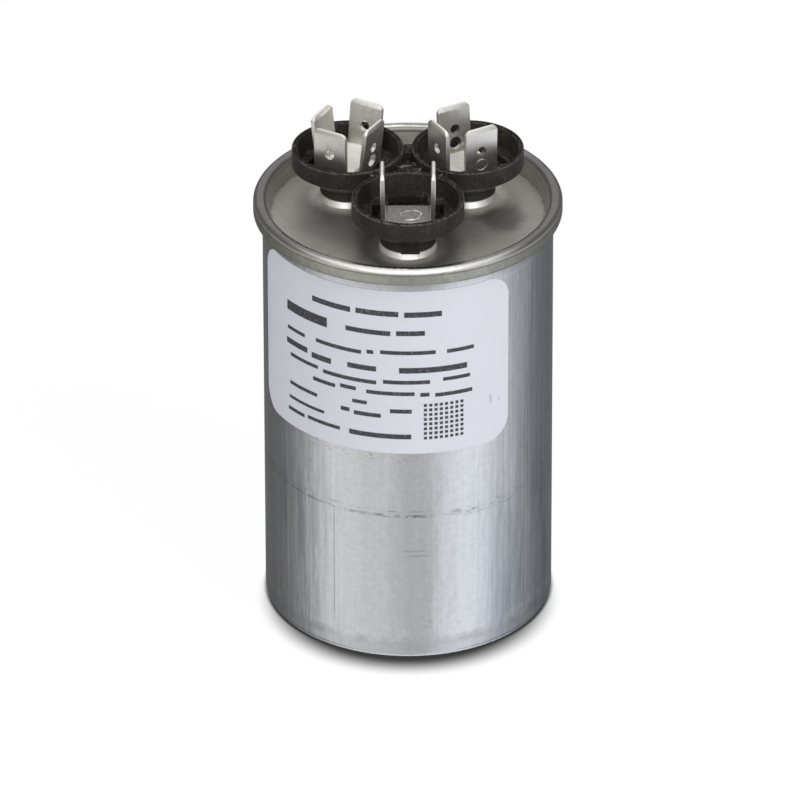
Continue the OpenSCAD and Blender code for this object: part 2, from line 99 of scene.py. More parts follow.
def direction(azimuth: float, elevation: float) -> Vector:
    """Direction away from the part.

    Args:
        azimuth: Degrees round from the camera's side, positive to the right.
        elevation: Degrees above the floor.

    Returns:
        A unit vector.
    """
    turn = math.radians(azimuth)
    rise = math.radians(elevation)
    return Vector((math.sin(turn) * math.cos(rise), -math.cos(turn) * math.cos(rise), math.sin(rise)))


class Maths(Enum):
    """Operations of the Math node that the finishes use."""

    ADD = "ADD"
    SUBTRACT = "SUBTRACT"
    MULTIPLY = "MULTIPLY"
    DIVIDE = "DIVIDE"
    MINIMUM = "MINIMUM"
    MAXIMUM = "MAXIMUM"
    ABSOLUTE = "ABSOLUTE"
    ARCTAN2 = "ARCTAN2"
    SQUARE_ROOT = "SQRT"
    SINE = "SINE"


class VectorMaths(Enum):
    """Operations of the Vector Math node that the script uses."""

    ADD = "ADD"
    NORMALIZE = "NORMALIZE"
    DISTANCE = "DISTANCE"
    DOT = "DOT_PRODUCT"


class Ray(Enum):
    """Kinds of ray that a stage surface can be shown to."""

    CAMERA = "Is Camera Ray"
    GLOSSY = "Is Glossy Ray"
    TRANSMISSION = "Is Transmission Ray"


class Signal:
    """A value that a material works out at each point; Python's operators add Math nodes to it."""

    def __init__(self, graph: "Graph", socket: bpy.types.NodeSocket) -> None:
        """Wrap one output socket of a graph's node."""
        self.graph = graph
        self.socket = socket

    def maths(self, operation: Maths, *operands: Operand) -> "Signal":
        """Put operands through one Math node.

        Args:
            operation: What the node works out.
            operands: Its one or two inputs.

        Returns:
            The node's result.
        """
        settings = {"operation": operation.value}
        return self.graph.node("ShaderNodeMath", settings, dict(enumerate(operands)))

    def __add__(self, other: Operand) -> "Signal":
        """Sum."""
        return self.maths(Maths.ADD, self, other)

    def __radd__(self, other: float) -> "Signal":
        """Sum with a number on the left."""
        return self.maths(Maths.ADD, other, self)

    def __sub__(self, other: Operand) -> "Signal":
        """Difference."""
        return self.maths(Maths.SUBTRACT, self, other)

    def __rsub__(self, other: float) -> "Signal":
        """Difference from a number."""
        return self.maths(Maths.SUBTRACT, other, self)

    def __mul__(self, other: Operand) -> "Signal":
        """Product."""
        return self.maths(Maths.MULTIPLY, self, other)

    def __rmul__(self, other: float) -> "Signal":
        """Product with a number on the left."""
        return self.maths(Maths.MULTIPLY, other, self)

    def __truediv__(self, other: Operand) -> "Signal":
        """Quotient."""
        return self.maths(Maths.DIVIDE, self, other)

    def __rtruediv__(self, other: float) -> "Signal":
        """A number divided by this."""
        return self.maths(Maths.DIVIDE, other, self)

    def __neg__(self) -> "Signal":
        """Negative."""
        return self.maths(Maths.MULTIPLY, self, -1.0)

    def __abs__(self) -> "Signal":
        """Size without its sign."""
        return self.maths(Maths.ABSOLUTE, self)

    def at_least(self, other: Operand) -> "Signal":
        """The larger of the two."""
        return self.maths(Maths.MAXIMUM, self, other)

    def at_most(self, other: Operand) -> "Signal":
        """The smaller of the two."""
        return self.maths(Maths.MINIMUM, self, other)

    def root(self) -> "Signal":
        """Square root."""
        return self.maths(Maths.SQUARE_ROOT, self)

    def sine(self) -> "Signal":
        """Sine, of radians."""
        return self.maths(Maths.SINE, self)

    def step(self, low: float, high: float) -> "Signal":
        """Rise smoothly from 0 at low to 1 at high, or fall where high is the smaller.

        Args:
            low: Where the result is 0.
            high: Where the result is 1.

        Returns:
            A mask from 0 to 1.
        """
        values = {"Value": self, "From Min": low, "From Max": high}
        return self.graph.node("ShaderNodeMapRange", {"interpolation_type": "SMOOTHSTEP"}, values)

    def band(self, middle: Operand, half_width: float, edge: float) -> "Signal":
        """Mask of a band around a middle value.

        Args:
            middle: Value at the band's middle.
            half_width: Half of the full-strength width.
            edge: Width over which it fades on each side.

        Returns:
            A mask from 0 to 1.
        """
        return abs(self - middle).step(half_width + edge, half_width)


class Graph:
    """Makes the nodes of one material, or of the world."""

    def __init__(self, tree: bpy.types.NodeTree) -> None:
        """Empty a node tree and take it over."""
        self.tree = tree
        self.tree.nodes.clear()

    @classmethod
    def for_material(cls, name: str) -> tuple[bpy.types.Material, "Graph"]:
        """Make a material.

        Args:
            name: The material's name.

        Returns:
            The material, and the graph that takes its nodes.
        """
        made = bpy.data.materials.new(name)
        made.use_nodes = True
        return made, cls(made.node_tree)

    def node(self, kind: str, settings: Optional[dict[str, Any]] = None,
             inputs: Optional[dict[Union[str, int], Any]] = None, output: Union[str, int] = 0) -> Signal:
        """Add a node.

        Args:
            kind: Blender's type name of the node.
            settings: Properties that are set first; "stops" gives a ramp's places and colours.
            inputs: Values or signals by socket name or number.
            output: Name or number of the socket that is handed back.

        Returns:
            The chosen output.
        """
        made = self.tree.nodes.new(kind)
        for name, value in (settings or {}).items():
            if name == "stops":
                self._set_stops(made.color_ramp, value)
            else:
                setattr(made, name, value)
        for key, value in (inputs or {}).items():
            if isinstance(value, Signal):
                self.tree.links.new(value.socket, made.inputs[key])
            else:
                made.inputs[key].default_value = value
        return Signal(self, made.outputs[output])

    @staticmethod
    def _set_stops(ramp: bpy.types.ColorRamp, stops: Sequence[tuple[float, Colour]]) -> None:
        """Give a ramp its places and colours.

        Args:
            ramp: The node's ramp.
            stops: Place from 0 to 1 and colour of each stop, in order.
        """
        while len(ramp.elements) < len(stops):
            ramp.elements.new(1.0)
        for element, (place, colour) in zip(ramp.elements, stops):
            element.position = place
            element.color = (*colour, 1.0)

    def finish_with(self, kind: str, surface: Signal) -> None:
        """Add the output node and link the surface to it."""
        made = self.tree.nodes.new(kind)
        self.tree.links.new(surface.socket, made.inputs["Surface"])

    @cached_property
    def place(self) -> Signal:
        """Point on the piece in millimetres, as a vector."""
        inputs = {0: self.node("ShaderNodeTexCoord", output="Object"), "Scale": 1.0 / MM}
        return self.node("ShaderNodeVectorMath", {"operation": "SCALE"}, inputs)

    @cached_property
    def axes(self) -> tuple[Signal, Signal, Signal]:
        """X, Y and Z of the point on the piece."""
        return self.parts(self.place)

    @cached_property
    def turn(self) -> Signal:
        """Angle round the can's axis in radians, 0 on the camera's side and positive to the right."""
        x, y, _ = self.axes
        return x.maths(Maths.ARCTAN2, x, -y)

    @cached_property
    def radius(self) -> Signal:
        """Distance from the can's axis."""
        return self.nearest([(0.0, 0.0)])

    def parts(self, vector: Signal) -> tuple[Signal, Signal, Signal]:
        """Split a vector.

        Args:
            vector: What is split.

        Returns:
            Its X, Y and Z.
        """
        x = self.node("ShaderNodeSeparateXYZ", None, {0: vector}, "X")
        sockets = x.socket.node.outputs
        return x, Signal(self, sockets["Y"]), Signal(self, sockets["Z"])

    def vector(self, x: Operand, y: Operand, z: Operand) -> Signal:
        """Join three values to a vector."""
        return self.node("ShaderNodeCombineXYZ", None, {"X": x, "Y": y, "Z": z})

    def vector_maths(self, operation: VectorMaths, *operands: Any) -> Signal:
        """Put vectors through one Vector Math node.

        Args:
            operation: What the node works out.
            operands: Its one or two vectors.

        Returns:
            A vector, or a number for a distance or a dot product.
        """
        output = "Value" if operation in (VectorMaths.DISTANCE, VectorMaths.DOT) else "Vector"
        settings = {"operation": operation.value}
        return self.node("ShaderNodeVectorMath", settings, dict(enumerate(operands)), output)

    def distance(self, centre: Point) -> Signal:
        """Distance from a point of the part, in millimetres."""
        return self.vector_maths(VectorMaths.DISTANCE, self.place, centre)

    def noise(self, scale: float, detail: float = 2.0, roughness: float = 0.5,
              at: Optional[Signal] = None) -> Signal:
        """Smooth noise.

        Args:
            scale: Cycles per millimetre.
            detail: Number of finer layers.
            roughness: Strength of the finer layers.
            at: Where it is read, or nothing for the point on the piece.

        Returns:
            Noise around 0.5.
        """
        values = {"Vector": at or self.place, "Scale": scale, "Detail": detail, "Roughness": roughness}
        return self.node("ShaderNodeTexNoise", None, values)

    def specks(self, scale: float, size: float) -> Signal:
        """Scattered small spots.

        Args:
            scale: Cells per millimetre.
            size: Radius of a spot as a share of its cell.

        Returns:
            A mask from 0 to 1.
        """
        near = self.node("ShaderNodeTexVoronoi", None, {"Vector": self.place, "Scale": scale})
        return near.step(size, size * 0.5)

    def mix(self, under: Any, over: Any, share: Operand) -> Signal:
        """Blend two colours.

        Args:
            under: Colour or signal where the share is 0.
            over: Colour or signal where the share is 1.
            share: Strength of the second colour.

        Returns:
            The blended colour.
        """
        values = {0: share, 6: self._colour(under), 7: self._colour(over)}
        return self.node("ShaderNodeMix", {"data_type": "RGBA"}, values, 2)

    def tint(self, colour: Any, level: Signal) -> Signal:
        """Multiply a colour by a level.

        Args:
            colour: Colour or signal.
            level: Factor, 1 for no change.

        Returns:
            The lighter or darker colour.
        """
        settings = {"data_type": "RGBA", "blend_type": "MULTIPLY"}
        return self.node("ShaderNodeMix", settings, {0: 1.0, 6: self._colour(colour), 7: level}, 2)

    @staticmethod
    def _colour(colour: Any) -> Any:
        """Give a plain colour its fourth channel."""
        return colour if isinstance(colour, Signal) else (*colour, 1.0)

    def bump(self, height: Signal, depth: float, strength: float = 1.0,
             normal: Optional[Signal] = None) -> Signal:
        """Turn a height into a normal.

        Args:
            height: Height from 0 to 1.
            depth: What a height of 1 stands for, in millimetres.
            strength: Share of the effect.
            normal: Normal that is bumped, or nothing for the surface's own.

        Returns:
            The bumped normal.
        """
        values = {"Height": height, "Distance": depth * MM, "Strength": strength}
        if normal is not None:
            values["Normal"] = normal
        return self.node("ShaderNodeBump", None, values, "Normal")

    def strokes(self, angle: float, scale: float, least: float) -> Signal:
        """Short thin strokes in one direction, for scratches and fibres.

        Args:
            angle: Direction of the strokes, in degrees about the upright axis.
            scale: Strokes per millimetre across them.
            least: Noise level from which a stroke shows; higher leaves fewer.

        Returns:
            A mask from 0 to 1.
        """
        x, y, z = self.axes
        cosine = math.cos(math.radians(angle))
        sine = math.sin(math.radians(angle))
        along = (x * cosine + y * sine) * STROKE_ALONG
        way = self.vector(along, y * cosine - x * sine, z * STROKE_UP + angle)
        return self.noise(scale, 2.0, at=way).step(least, least + STROKE_FADE)

    def facing(self) -> Signal:
        """The surface's own normal, as a vector."""
        return self.node("ShaderNodeNewGeometry", output="Normal")

    def upward(self) -> Signal:
        """Mask of the faces that look up."""
        return self.parts(self.facing())[2].step(*LOOKS_UP)

    def leaning(self, lean: Signal) -> Signal:
        """The surface's normal, leaned upward.

        Args:
            lean: Share of straight up that is added to the normal.

        Returns:
            The leaned normal.
        """
        total = self.vector_maths(VectorMaths.ADD, self.facing(), self.vector(0.0, 0.0, lean))
        return self.vector_maths(VectorMaths.NORMALIZE, total)

    def nearest(self, centres: Iterable[Spot]) -> Signal:
        """Distance to the nearest of some upright axes.

        Args:
            centres: X and Y of each axis.

        Returns:
            The smallest distance.
        """
        x, y, _ = self.axes
        offsets = [(x - centre_x, y - centre_y) for centre_x, centre_y in centres]
        return reduce(Signal.at_most, [(across * across + along * along).root() for across, along in offsets])


class Finish(ABC):
    """A procedural surface."""

    @abstractmethod
    def paint(self, graph: Graph) -> dict[str, Any]:
        """Work out the shader's inputs.

        Args:
            graph: Where the nodes go.

        Returns:
            Values or signals by the shader's socket names.
        """

    def material(self, name: str) -> bpy.types.Material:
        """Make the material.

        Args:
            name: The material's name.

        Returns:
            A material with the shader and its nodes.
        """
        made, graph = Graph.for_material(name)
        shader = graph.node("ShaderNodeBsdfPrincipled", None, self.paint(graph), "BSDF")
        graph.finish_with("ShaderNodeOutputMaterial", shader)
        return made


@dataclass(frozen=True)
class DrawnAluminium(Finish):
    """Satin drawn aluminium with fine upright streaks, scuffs and rubbed grains, painted shade on its sides,
    neck and lower band, and a painted highlight on its bottom edge.
    """

    colour: Colour = (0.66, 0.665, 0.68)
    scuff_colour: Colour = (0.10, 0.10, 0.105)
    foot_shade_and_smudge_colour: Colour = (0.36, 0.37, 0.365)
    shade_and_mottle_colour: Colour = (0.38, 0.42, 0.48)
    rubbed_colour: Colour = (0.86, 0.86, 0.87)
    roughness: float = 0.27
    relief_depth: float = 0.06
    wall_radius: float = 25.4
    draw_stretch: float = 0.006
    streak_scale: float = 2.2
    side_turn: Span = (0.25, 0.85)
    neck_height: Span = (73.4, 74.6)
    neck_shade: Span = (74.2, 75.6)
    low_shade: Span = (16.0, 5.0)
    rear_end: Span = (-2.2, -1.5)
    ring_height: float = 29.3
    ring_slope: float = 0.3
    ring_gap: float = 0.95
    dash_heights: Sequence[float] = (22.2, 21.2)
    dash_arc: Band = (1.2, 1.3, 1.6)
    smear_height: Band = (41.2, 0.4, 1.3)
    line_arc: Band = (-13.7, 0.05, 0.12)
    line_height: Band = (18.0, 9.0, 5.0)
    shade_band_turn: Band = (0.74, 0.07, 0.16)
    shade_band_height: Span = (34.0, 12.0)
    side_mottle_height: Span = (40.0, 24.0)
    foot_height: float = 4.2
    highlight_edge_height: Span = (1.0, 0.6)

    def paint(self, graph: Graph) -> dict[str, Any]:
        """Streaks, painted shade, a painted highlight and wear of the can.

        Args:
            graph: Where the nodes go.

        Returns:
            Values or signals by the shader's socket names.
        """
        x, y, z = graph.axes
        turn = graph.turn
        arc = turn * self.wall_radius
        upright = graph.vector(x, y, z * self.draw_stretch)
        streaks = graph.noise(self.streak_scale, 4.0, 0.62, at=upright)
        broad = graph.noise(0.35, 2.0, at=upright)
        cloud = graph.noise(0.12, 2.0)
        mottle = graph.noise(1.1, 3.0, 0.6)
        sides = abs(turn).step(*self.side_turn)
        neck = z.step(*self.neck_height)
        drawn = 0.5 + (1.0 - 0.75 * neck) * (streaks - 0.5)
        level = 0.74 + (0.1 + 0.55 * sides) * drawn + 0.10 * broad + 0.04 * cloud + 0.28 * mottle
        # Painted shade: the sides are darker, more so low down, and so is the band under the seam.
        level = level - (0.12 + 0.09 * z.step(*self.low_shade)) * sides - 0.17 * z.step(*self.neck_shade)

        wear = self._wear(graph)
        # Painted shade: a ragged darker band along the base, stronger at the sides, with broken smudges along
        # its top.
        ragged = z + 1.6 * (graph.noise(1.3, 4.0, 0.7, at=graph.vector(arc, 0.0, z * 1.6)) - 0.5)
        broken = graph.noise(0.14, 3.0, at=graph.vector(arc, 0.0, 0.0)).step(0.4, 0.62)
        foot = 0.34 * ragged.step(self.foot_height + 0.3, self.foot_height - 1.6)
        foot = foot + 0.5 * broken * ragged.band(self.foot_height - 0.5, 0.3, 1.0)
        foot = foot * (0.75 + 0.25 * sides)
        # Painted highlight: the bottom edge takes the light rubbed colour; rubbed grains lie just above the
        # darker band.
        edge = z.step(*self.highlight_edge_height)
        grains = graph.noise(3.2, 3.0, 0.7).step(0.47, 0.62)
        grains = grains * graph.noise(0.28, 2.0).step(0.46, 0.6)
        rubbed = (0.6 * z.band(self.foot_height + 0.4, 0.6, 1.5) * grains).at_least(edge)
        # Darker bluish patches low on the sides.
        side_mottle = graph.noise(0.5, 4.0, 0.65, at=graph.vector(x, y, z * 0.1)).step(0.49, 0.62)
        side_mottle = side_mottle * sides * z.step(*self.side_mottle_height)
        base = graph.mix(graph.tint(self.colour, level), self.scuff_colour, wear)
        # Painted shade: a dark bluish band low on the right side.
        base = graph.mix(base, self.shade_and_mottle_colour, 0.4 * turn.band(*self.shade_band_turn) * z.step(*self.shade_band_height))
        base = graph.mix(base, self.shade_and_mottle_colour, 0.45 * side_mottle)
        base = graph.mix(base, self.foot_shade_and_smudge_colour, foot)
        base = graph.mix(base, self.rubbed_colour, rubbed)

        waves = graph.noise(0.16, 3.0, at=graph.vector(x, y, z * 0.35))
        relief = (0.5 * streaks + 1.2 * broad) * (0.35 + 0.65 * sides) * (1.0 - 0.8 * neck) + 3.6 * waves
        return {
            "Base Color": base,
            "Metallic": 1.0,
            "Roughness": self.roughness - 0.06 + 0.12 * streaks + 0.15 * foot + 0.2 * rubbed + 0.12 * wear,
            "Normal": graph.bump(relief, self.relief_depth, 1.0, graph.leaning(0.9 * edge)),
        }

    def _wear(self, graph: Graph) -> Signal:
        """Dark marks: broken rings, a double dash, a smear, an upright line and specks.

        Args:
            graph: Where the nodes go.

        Returns:
            Strength of the marks, 0 for none.
        """
        z = graph.axes[2]
        turn = graph.turn
        arc = turn * self.wall_radius
        seen = turn.step(*self.rear_end)
        dashes = graph.noise(0.42, 4.0, 0.75, at=graph.vector(arc, 0.0, z * 2.0)).step(0.44, 0.56)
        thin = graph.noise(0.6, 4.0, 0.75, at=graph.vector(arc, 3.0, z * 3.0)).step(0.46, 0.6)
        scratch = graph.noise(0.75, 4.0, 0.7, at=graph.vector(arc * 1.3, 0.0, z * 3.2)).step(0.55, 0.64)
        way = self.ring_height - turn * self.ring_slope
        ring = 0.6 * seen * turn.step(0.2, 0.0) + 0.4 * turn.band(-0.02, 0.1, 0.15)
        ring = ring * z.band(way, 0.14, 0.3) * dashes
        upper_ring = z.band(way + self.ring_gap, 0.05, 0.25) * thin * seen * turn.step(0.25, 0.0)
        right_ring = z.band(self.ring_height, 0.35, 0.8) * thin * turn.step(0.2, 0.3) * turn.step(0.95, 0.8)
        double_dash = sum(z.band(height, 0.05, 0.15) for height in self.dash_heights)
        double_dash = double_dash * arc.band(*self.dash_arc) * (0.3 + 0.7 * thin)
        smear = z.band(*self.smear_height) * scratch * seen * turn.step(0.3, -0.1)
        line = arc.band(*self.line_arc) * z.band(*self.line_height)
        dust = graph.specks(0.55, 0.09) * graph.noise(0.3).step(0.48, 0.62)
        marks = 0.75 * ring + 0.4 * upper_ring + 0.4 * right_ring + 0.5 * double_dash + 0.5 * smear
        return (marks + 0.4 * line + 0.5 * dust).at_most(0.85)


@dataclass(frozen=True)
class CupShade:
    """A ragged patch of painted shade beside a cup on the lid's panel: its middle, where it fades and its
    strength.
    """

    centre: Spot
    reach: Span
    strength: float


@dataclass(frozen=True)
class TinPlate(Finish):
    """Warm satin tin plate of the lid: speckled panel, bright crest and collars, dull seam face, with painted
    light and shade.
    """

    colour: Colour = (0.56, 0.555, 0.51)
    seam_colour: Colour = (0.38, 0.385, 0.335)
    crest_colour: Colour = (0.64, 0.63, 0.605)
    collar_highlight_colour: Colour = (0.97, 0.96, 0.93)
    shoulder_shade_colour: Colour = (0.07, 0.068, 0.055)
    stain_and_shade_colour: Colour = (0.10, 0.085, 0.06)
    roughness: float = 0.39
    metallic: float = 0.86
    seam_radius: float = 25.0
    panel_radius: float = 23.9
    panel_height: float = 76.0
    crest_height: Span = (78.65, 79.15)
    chuck_reach: Span = (25.28, 24.95)
    lip_height: Span = (78.3, 78.7)
    face_reach: Span = (26.35, 26.65)
    face_height: Span = (78.75, 78.35)
    roll_line: Band = (78.45, 0.04, 0.16)
    roll_foot: Span = (76.95, 76.4)
    side_turn: Band = (1.5, 0.55, 0.5)
    back_turn: Span = (2.3, 2.8)
    ahead_turn: Band = (0.75, 0.25, 0.35)
    ahead_reach: Span = (14.0, 19.0)
    cup_shades: Sequence[CupShade] = (CupShade((16.2, -2.2), (5.6, 2.4), 0.42), CupShade((0.0, -12.1), (10.4, 7.4), 0.3))
    collar_reach: Span = (22.6, 22.2)
    collar_reflection_band: Band = (5.4, 0.4, 1.8)
    collar_lean: float = 0.5

    def paint(self, graph: Graph) -> dict[str, Any]:
        """Speckle, seam, collars, stains and painted light and shade of the lid.

        Args:
            graph: Where the nodes go.

        Returns:
            Values or signals by the shader's socket names.
        """
        z = graph.axes[2]
        radius = graph.radius
        turn = graph.turn
        around = graph.vector(turn * self.seam_radius, radius * 0.5, z)
        speckle = graph.noise(6.0, 3.0, 0.7)
        rubbed = graph.noise(0.9, 4.0, 0.65, at=around)
        cloud = graph.noise(0.35, 3.0)
        crest = z.step(*self.crest_height)
        back = abs(turn).step(*self.back_turn)
        inner = radius.step(*self.chuck_reach)
        outer = radius.step(*self.face_reach)

        chuck = radius.step(self.panel_radius - 0.3, self.panel_radius) * (1.0 - crest)
        lip = inner * z.step(*self.lip_height)
        ahead = abs(turn).band(*self.ahead_turn) * radius.step(*self.ahead_reach)
        # Painted shade: ragged dim patches beside the front and right cups.
        ragged = 7.0 * (graph.noise(0.2, 5.0, 0.65) - 0.5)
        cup_shade = sum(dim.strength * (graph.nearest([dim.centre]) + ragged).step(*dim.reach)
                    for dim in self.cup_shades)
        # Painted reflection: a lighter ring on the panel round each collar.
        glow = graph.nearest(cup_centres()).band(*self.collar_reflection_band)
        base = graph.tint(self.colour, 0.82 + 0.24 * speckle + 0.14 * cloud)
        # Painted light and shade: at the back the chuck wall is lighter and its inner lip darker, and the
        # outer panel is lighter to the front left and front right.
        base = graph.tint(base, 1.0 + back * (0.1 * chuck - 0.5 * lip) + 0.2 * ahead - cup_shade + 0.55 * glow)
        # Painted light and shade on the crest: darker at the sides, lighter at the back, with its inner edge
        # darker there.
        crest_light_and_shade = 0.92 + 0.16 * speckle - 0.33 * abs(turn).band(*self.side_turn) + back * (0.33 - 1.12 * inner)
        base = graph.mix(base, graph.tint(self.crest_colour, crest_light_and_shade), crest)

        collar = z.step(self.panel_height + 0.1, self.panel_height + 0.35) * radius.step(*self.collar_reach)
        shaded_shoulder = collar * z.step(self.panel_height + 1.2, self.panel_height + 1.4)
        slope = graph.leaning((0.8 + 0.4 * rubbed) * self.collar_lean * collar * (1.0 - shaded_shoulder))
        # Painted highlight: the collars are near white, and their normals lean upward.
        base = graph.mix(base, graph.tint(self.collar_highlight_colour, 0.95 + 0.1 * speckle), collar)
        # Painted shade: the collars' shoulders, under the cups, are near black.
        base = graph.mix(base, self.shoulder_shade_colour, shaded_shoulder)
        face = outer * z.step(*self.face_height)
        base = graph.mix(base, graph.tint(self.seam_colour, 0.7 + 0.6 * rubbed), face)

        # Painted shade: a broken dark line in the panel's crease.
        crease = radius.band(self.panel_radius - 0.15, 0.1, 0.25)
        crease = crease * z.step(self.panel_height + 0.9, self.panel_height)
        crease = crease * graph.noise(0.7, 3.0, 0.6, at=around).step(0.40, 0.55)
        flecks = graph.specks(0.9, 0.10) * cloud.step(0.45, 0.6)
        dried = graph.noise(0.11, 4.0, 0.6)
        tide = 0.15 * dried.band(0.54, 0.002, 0.008) + 0.07 * dried.step(0.538, 0.546)
        # Painted shade: dark along the seam's roll and its lower edge.
        rolled = outer * (0.55 * z.band(*self.roll_line) + 0.3 * z.step(*self.roll_foot))
        # Tide marks, specks and this painted shade together.
        stain_and_shade = (0.3 * crease + 0.45 * flecks + tide + rolled).at_most(0.9)
        return {
            "Base Color": graph.mix(base, self.stain_and_shade_colour, stain_and_shade),
            "Metallic": self.metallic + (1.0 - self.metallic) * crest,
            "Roughness": self.roughness - 0.05 + 0.1 * speckle + 0.15 * stain_and_shade - 0.16 * crest + 0.2 * shaded_shoulder,
            "Normal": graph.bump(speckle * (1.0 - 0.8 * crest.at_least(collar)), 0.01, 0.35, slope),
        }


@dataclass(frozen=True)
class MouldedPlastic(Finish):
    """Black moulded plastic, slightly glossy, with dust and dry scratches on its upper faces."""

    colour: Colour = (0.0135, 0.0127, 0.0105)
    dust_colour: Colour = (0.28, 0.27, 0.25)
    worn_colour: Colour = (0.16, 0.16, 0.15)
    neck_warm_light_colour: Colour = (0.075, 0.064, 0.052)
    roughness: float = 0.3
    specular: float = 0.13
    rim_height: Span = (85.3, 85.55)
    cup_radius: float = 9.8
    bowl_radius: float = 8.85
    neck_height: Span = (81.6, 80.8)
    neck_depth: Span = (-3.0, 1.0)
    web_depth: Span = (5.5, 3.0)
    lint_angles: Sequence[float] = (15.0, 75.0, 120.0, 160.0)

    def paint(self, graph: Graph) -> dict[str, Any]:
        """Light, dust and worn edges of the terminal block.

        Args:
            graph: Where the nodes go.

        Returns:
            Values or signals by the shader's socket names.
        """
        _, y, z = graph.axes
        grain = graph.noise(5.0, 3.0)
        cloud = graph.noise(0.5, 3.0)
        upward = graph.upward()
        away = graph.nearest(cup_centres())
        inside = away.step(self.bowl_radius + 0.15, self.bowl_radius - 0.05) * (1.0 - upward)
        floor = upward * z.band(CUP_FLOOR, 0.1, 0.15)
        web = upward * away.step(self.cup_radius - 0.2, self.cup_radius + 0.2) * y.step(*self.web_depth)
        light = 2.2 + 0.55 * inside - 1.75 * upward + 1.0 * floor
        base = graph.tint(self.colour, (0.6 + 0.8 * cloud) * light)
        # Painted warm light: the low rear necks take a brownish tint.
        base = graph.mix(base, self.neck_warm_light_colour, 0.7 * z.step(*self.neck_height) * y.step(*self.neck_depth))

        dots = graph.specks(1.6, 0.13) * cloud.step(0.42, 0.58)
        powder = graph.specks(3.2, 0.22) * graph.noise(0.7, 2.0).step(0.5, 0.62) * upward
        patches = graph.noise(0.35, 2.0).step(0.45, 0.6)
        fibres = graph.noise(0.8, 3.0, 0.55).band(0.5, 0.001, 0.008) * patches
        lint = reduce(Signal.at_least, [graph.strokes(angle, 1.7, 0.64) for angle in self.lint_angles])
        lint = lint * (0.05 + 0.25 * upward + 0.7 * web)
        scuffs = graph.noise(1.6, 5.0, 0.75).step(0.54, 0.66) * (1.0 - upward)
        film = floor * graph.noise(2.4, 4.0, 0.7).step(0.45, 0.65)
        dust = dots * (0.2 + 0.5 * upward) + fibres * (0.22 + 0.3 * upward)
        dust = dust + 0.7 * lint + 0.5 * powder + 0.1 * scuffs + 0.12 * film
        base = graph.mix(base, self.dust_colour, dust.at_most(0.7))

        edges = away.band(self.cup_radius - 0.1, 0.05, 0.14)
        edges = edges + 0.7 * away.band(self.bowl_radius + 0.1, 0.04, 0.12)
        worn = graph.noise(2.2, 4.0, 0.7).step(0.38, 0.62) * z.step(*self.rim_height)
        return {
            "Base Color": graph.mix(base, self.worn_colour, 0.6 * worn * edges),
            "Roughness": self.roughness - 0.04 + 0.1 * cloud + 0.3 * dust,
            "Specular IOR Level": self.specular,
            "Normal": graph.bump(grain, 0.01, 0.3),
        }


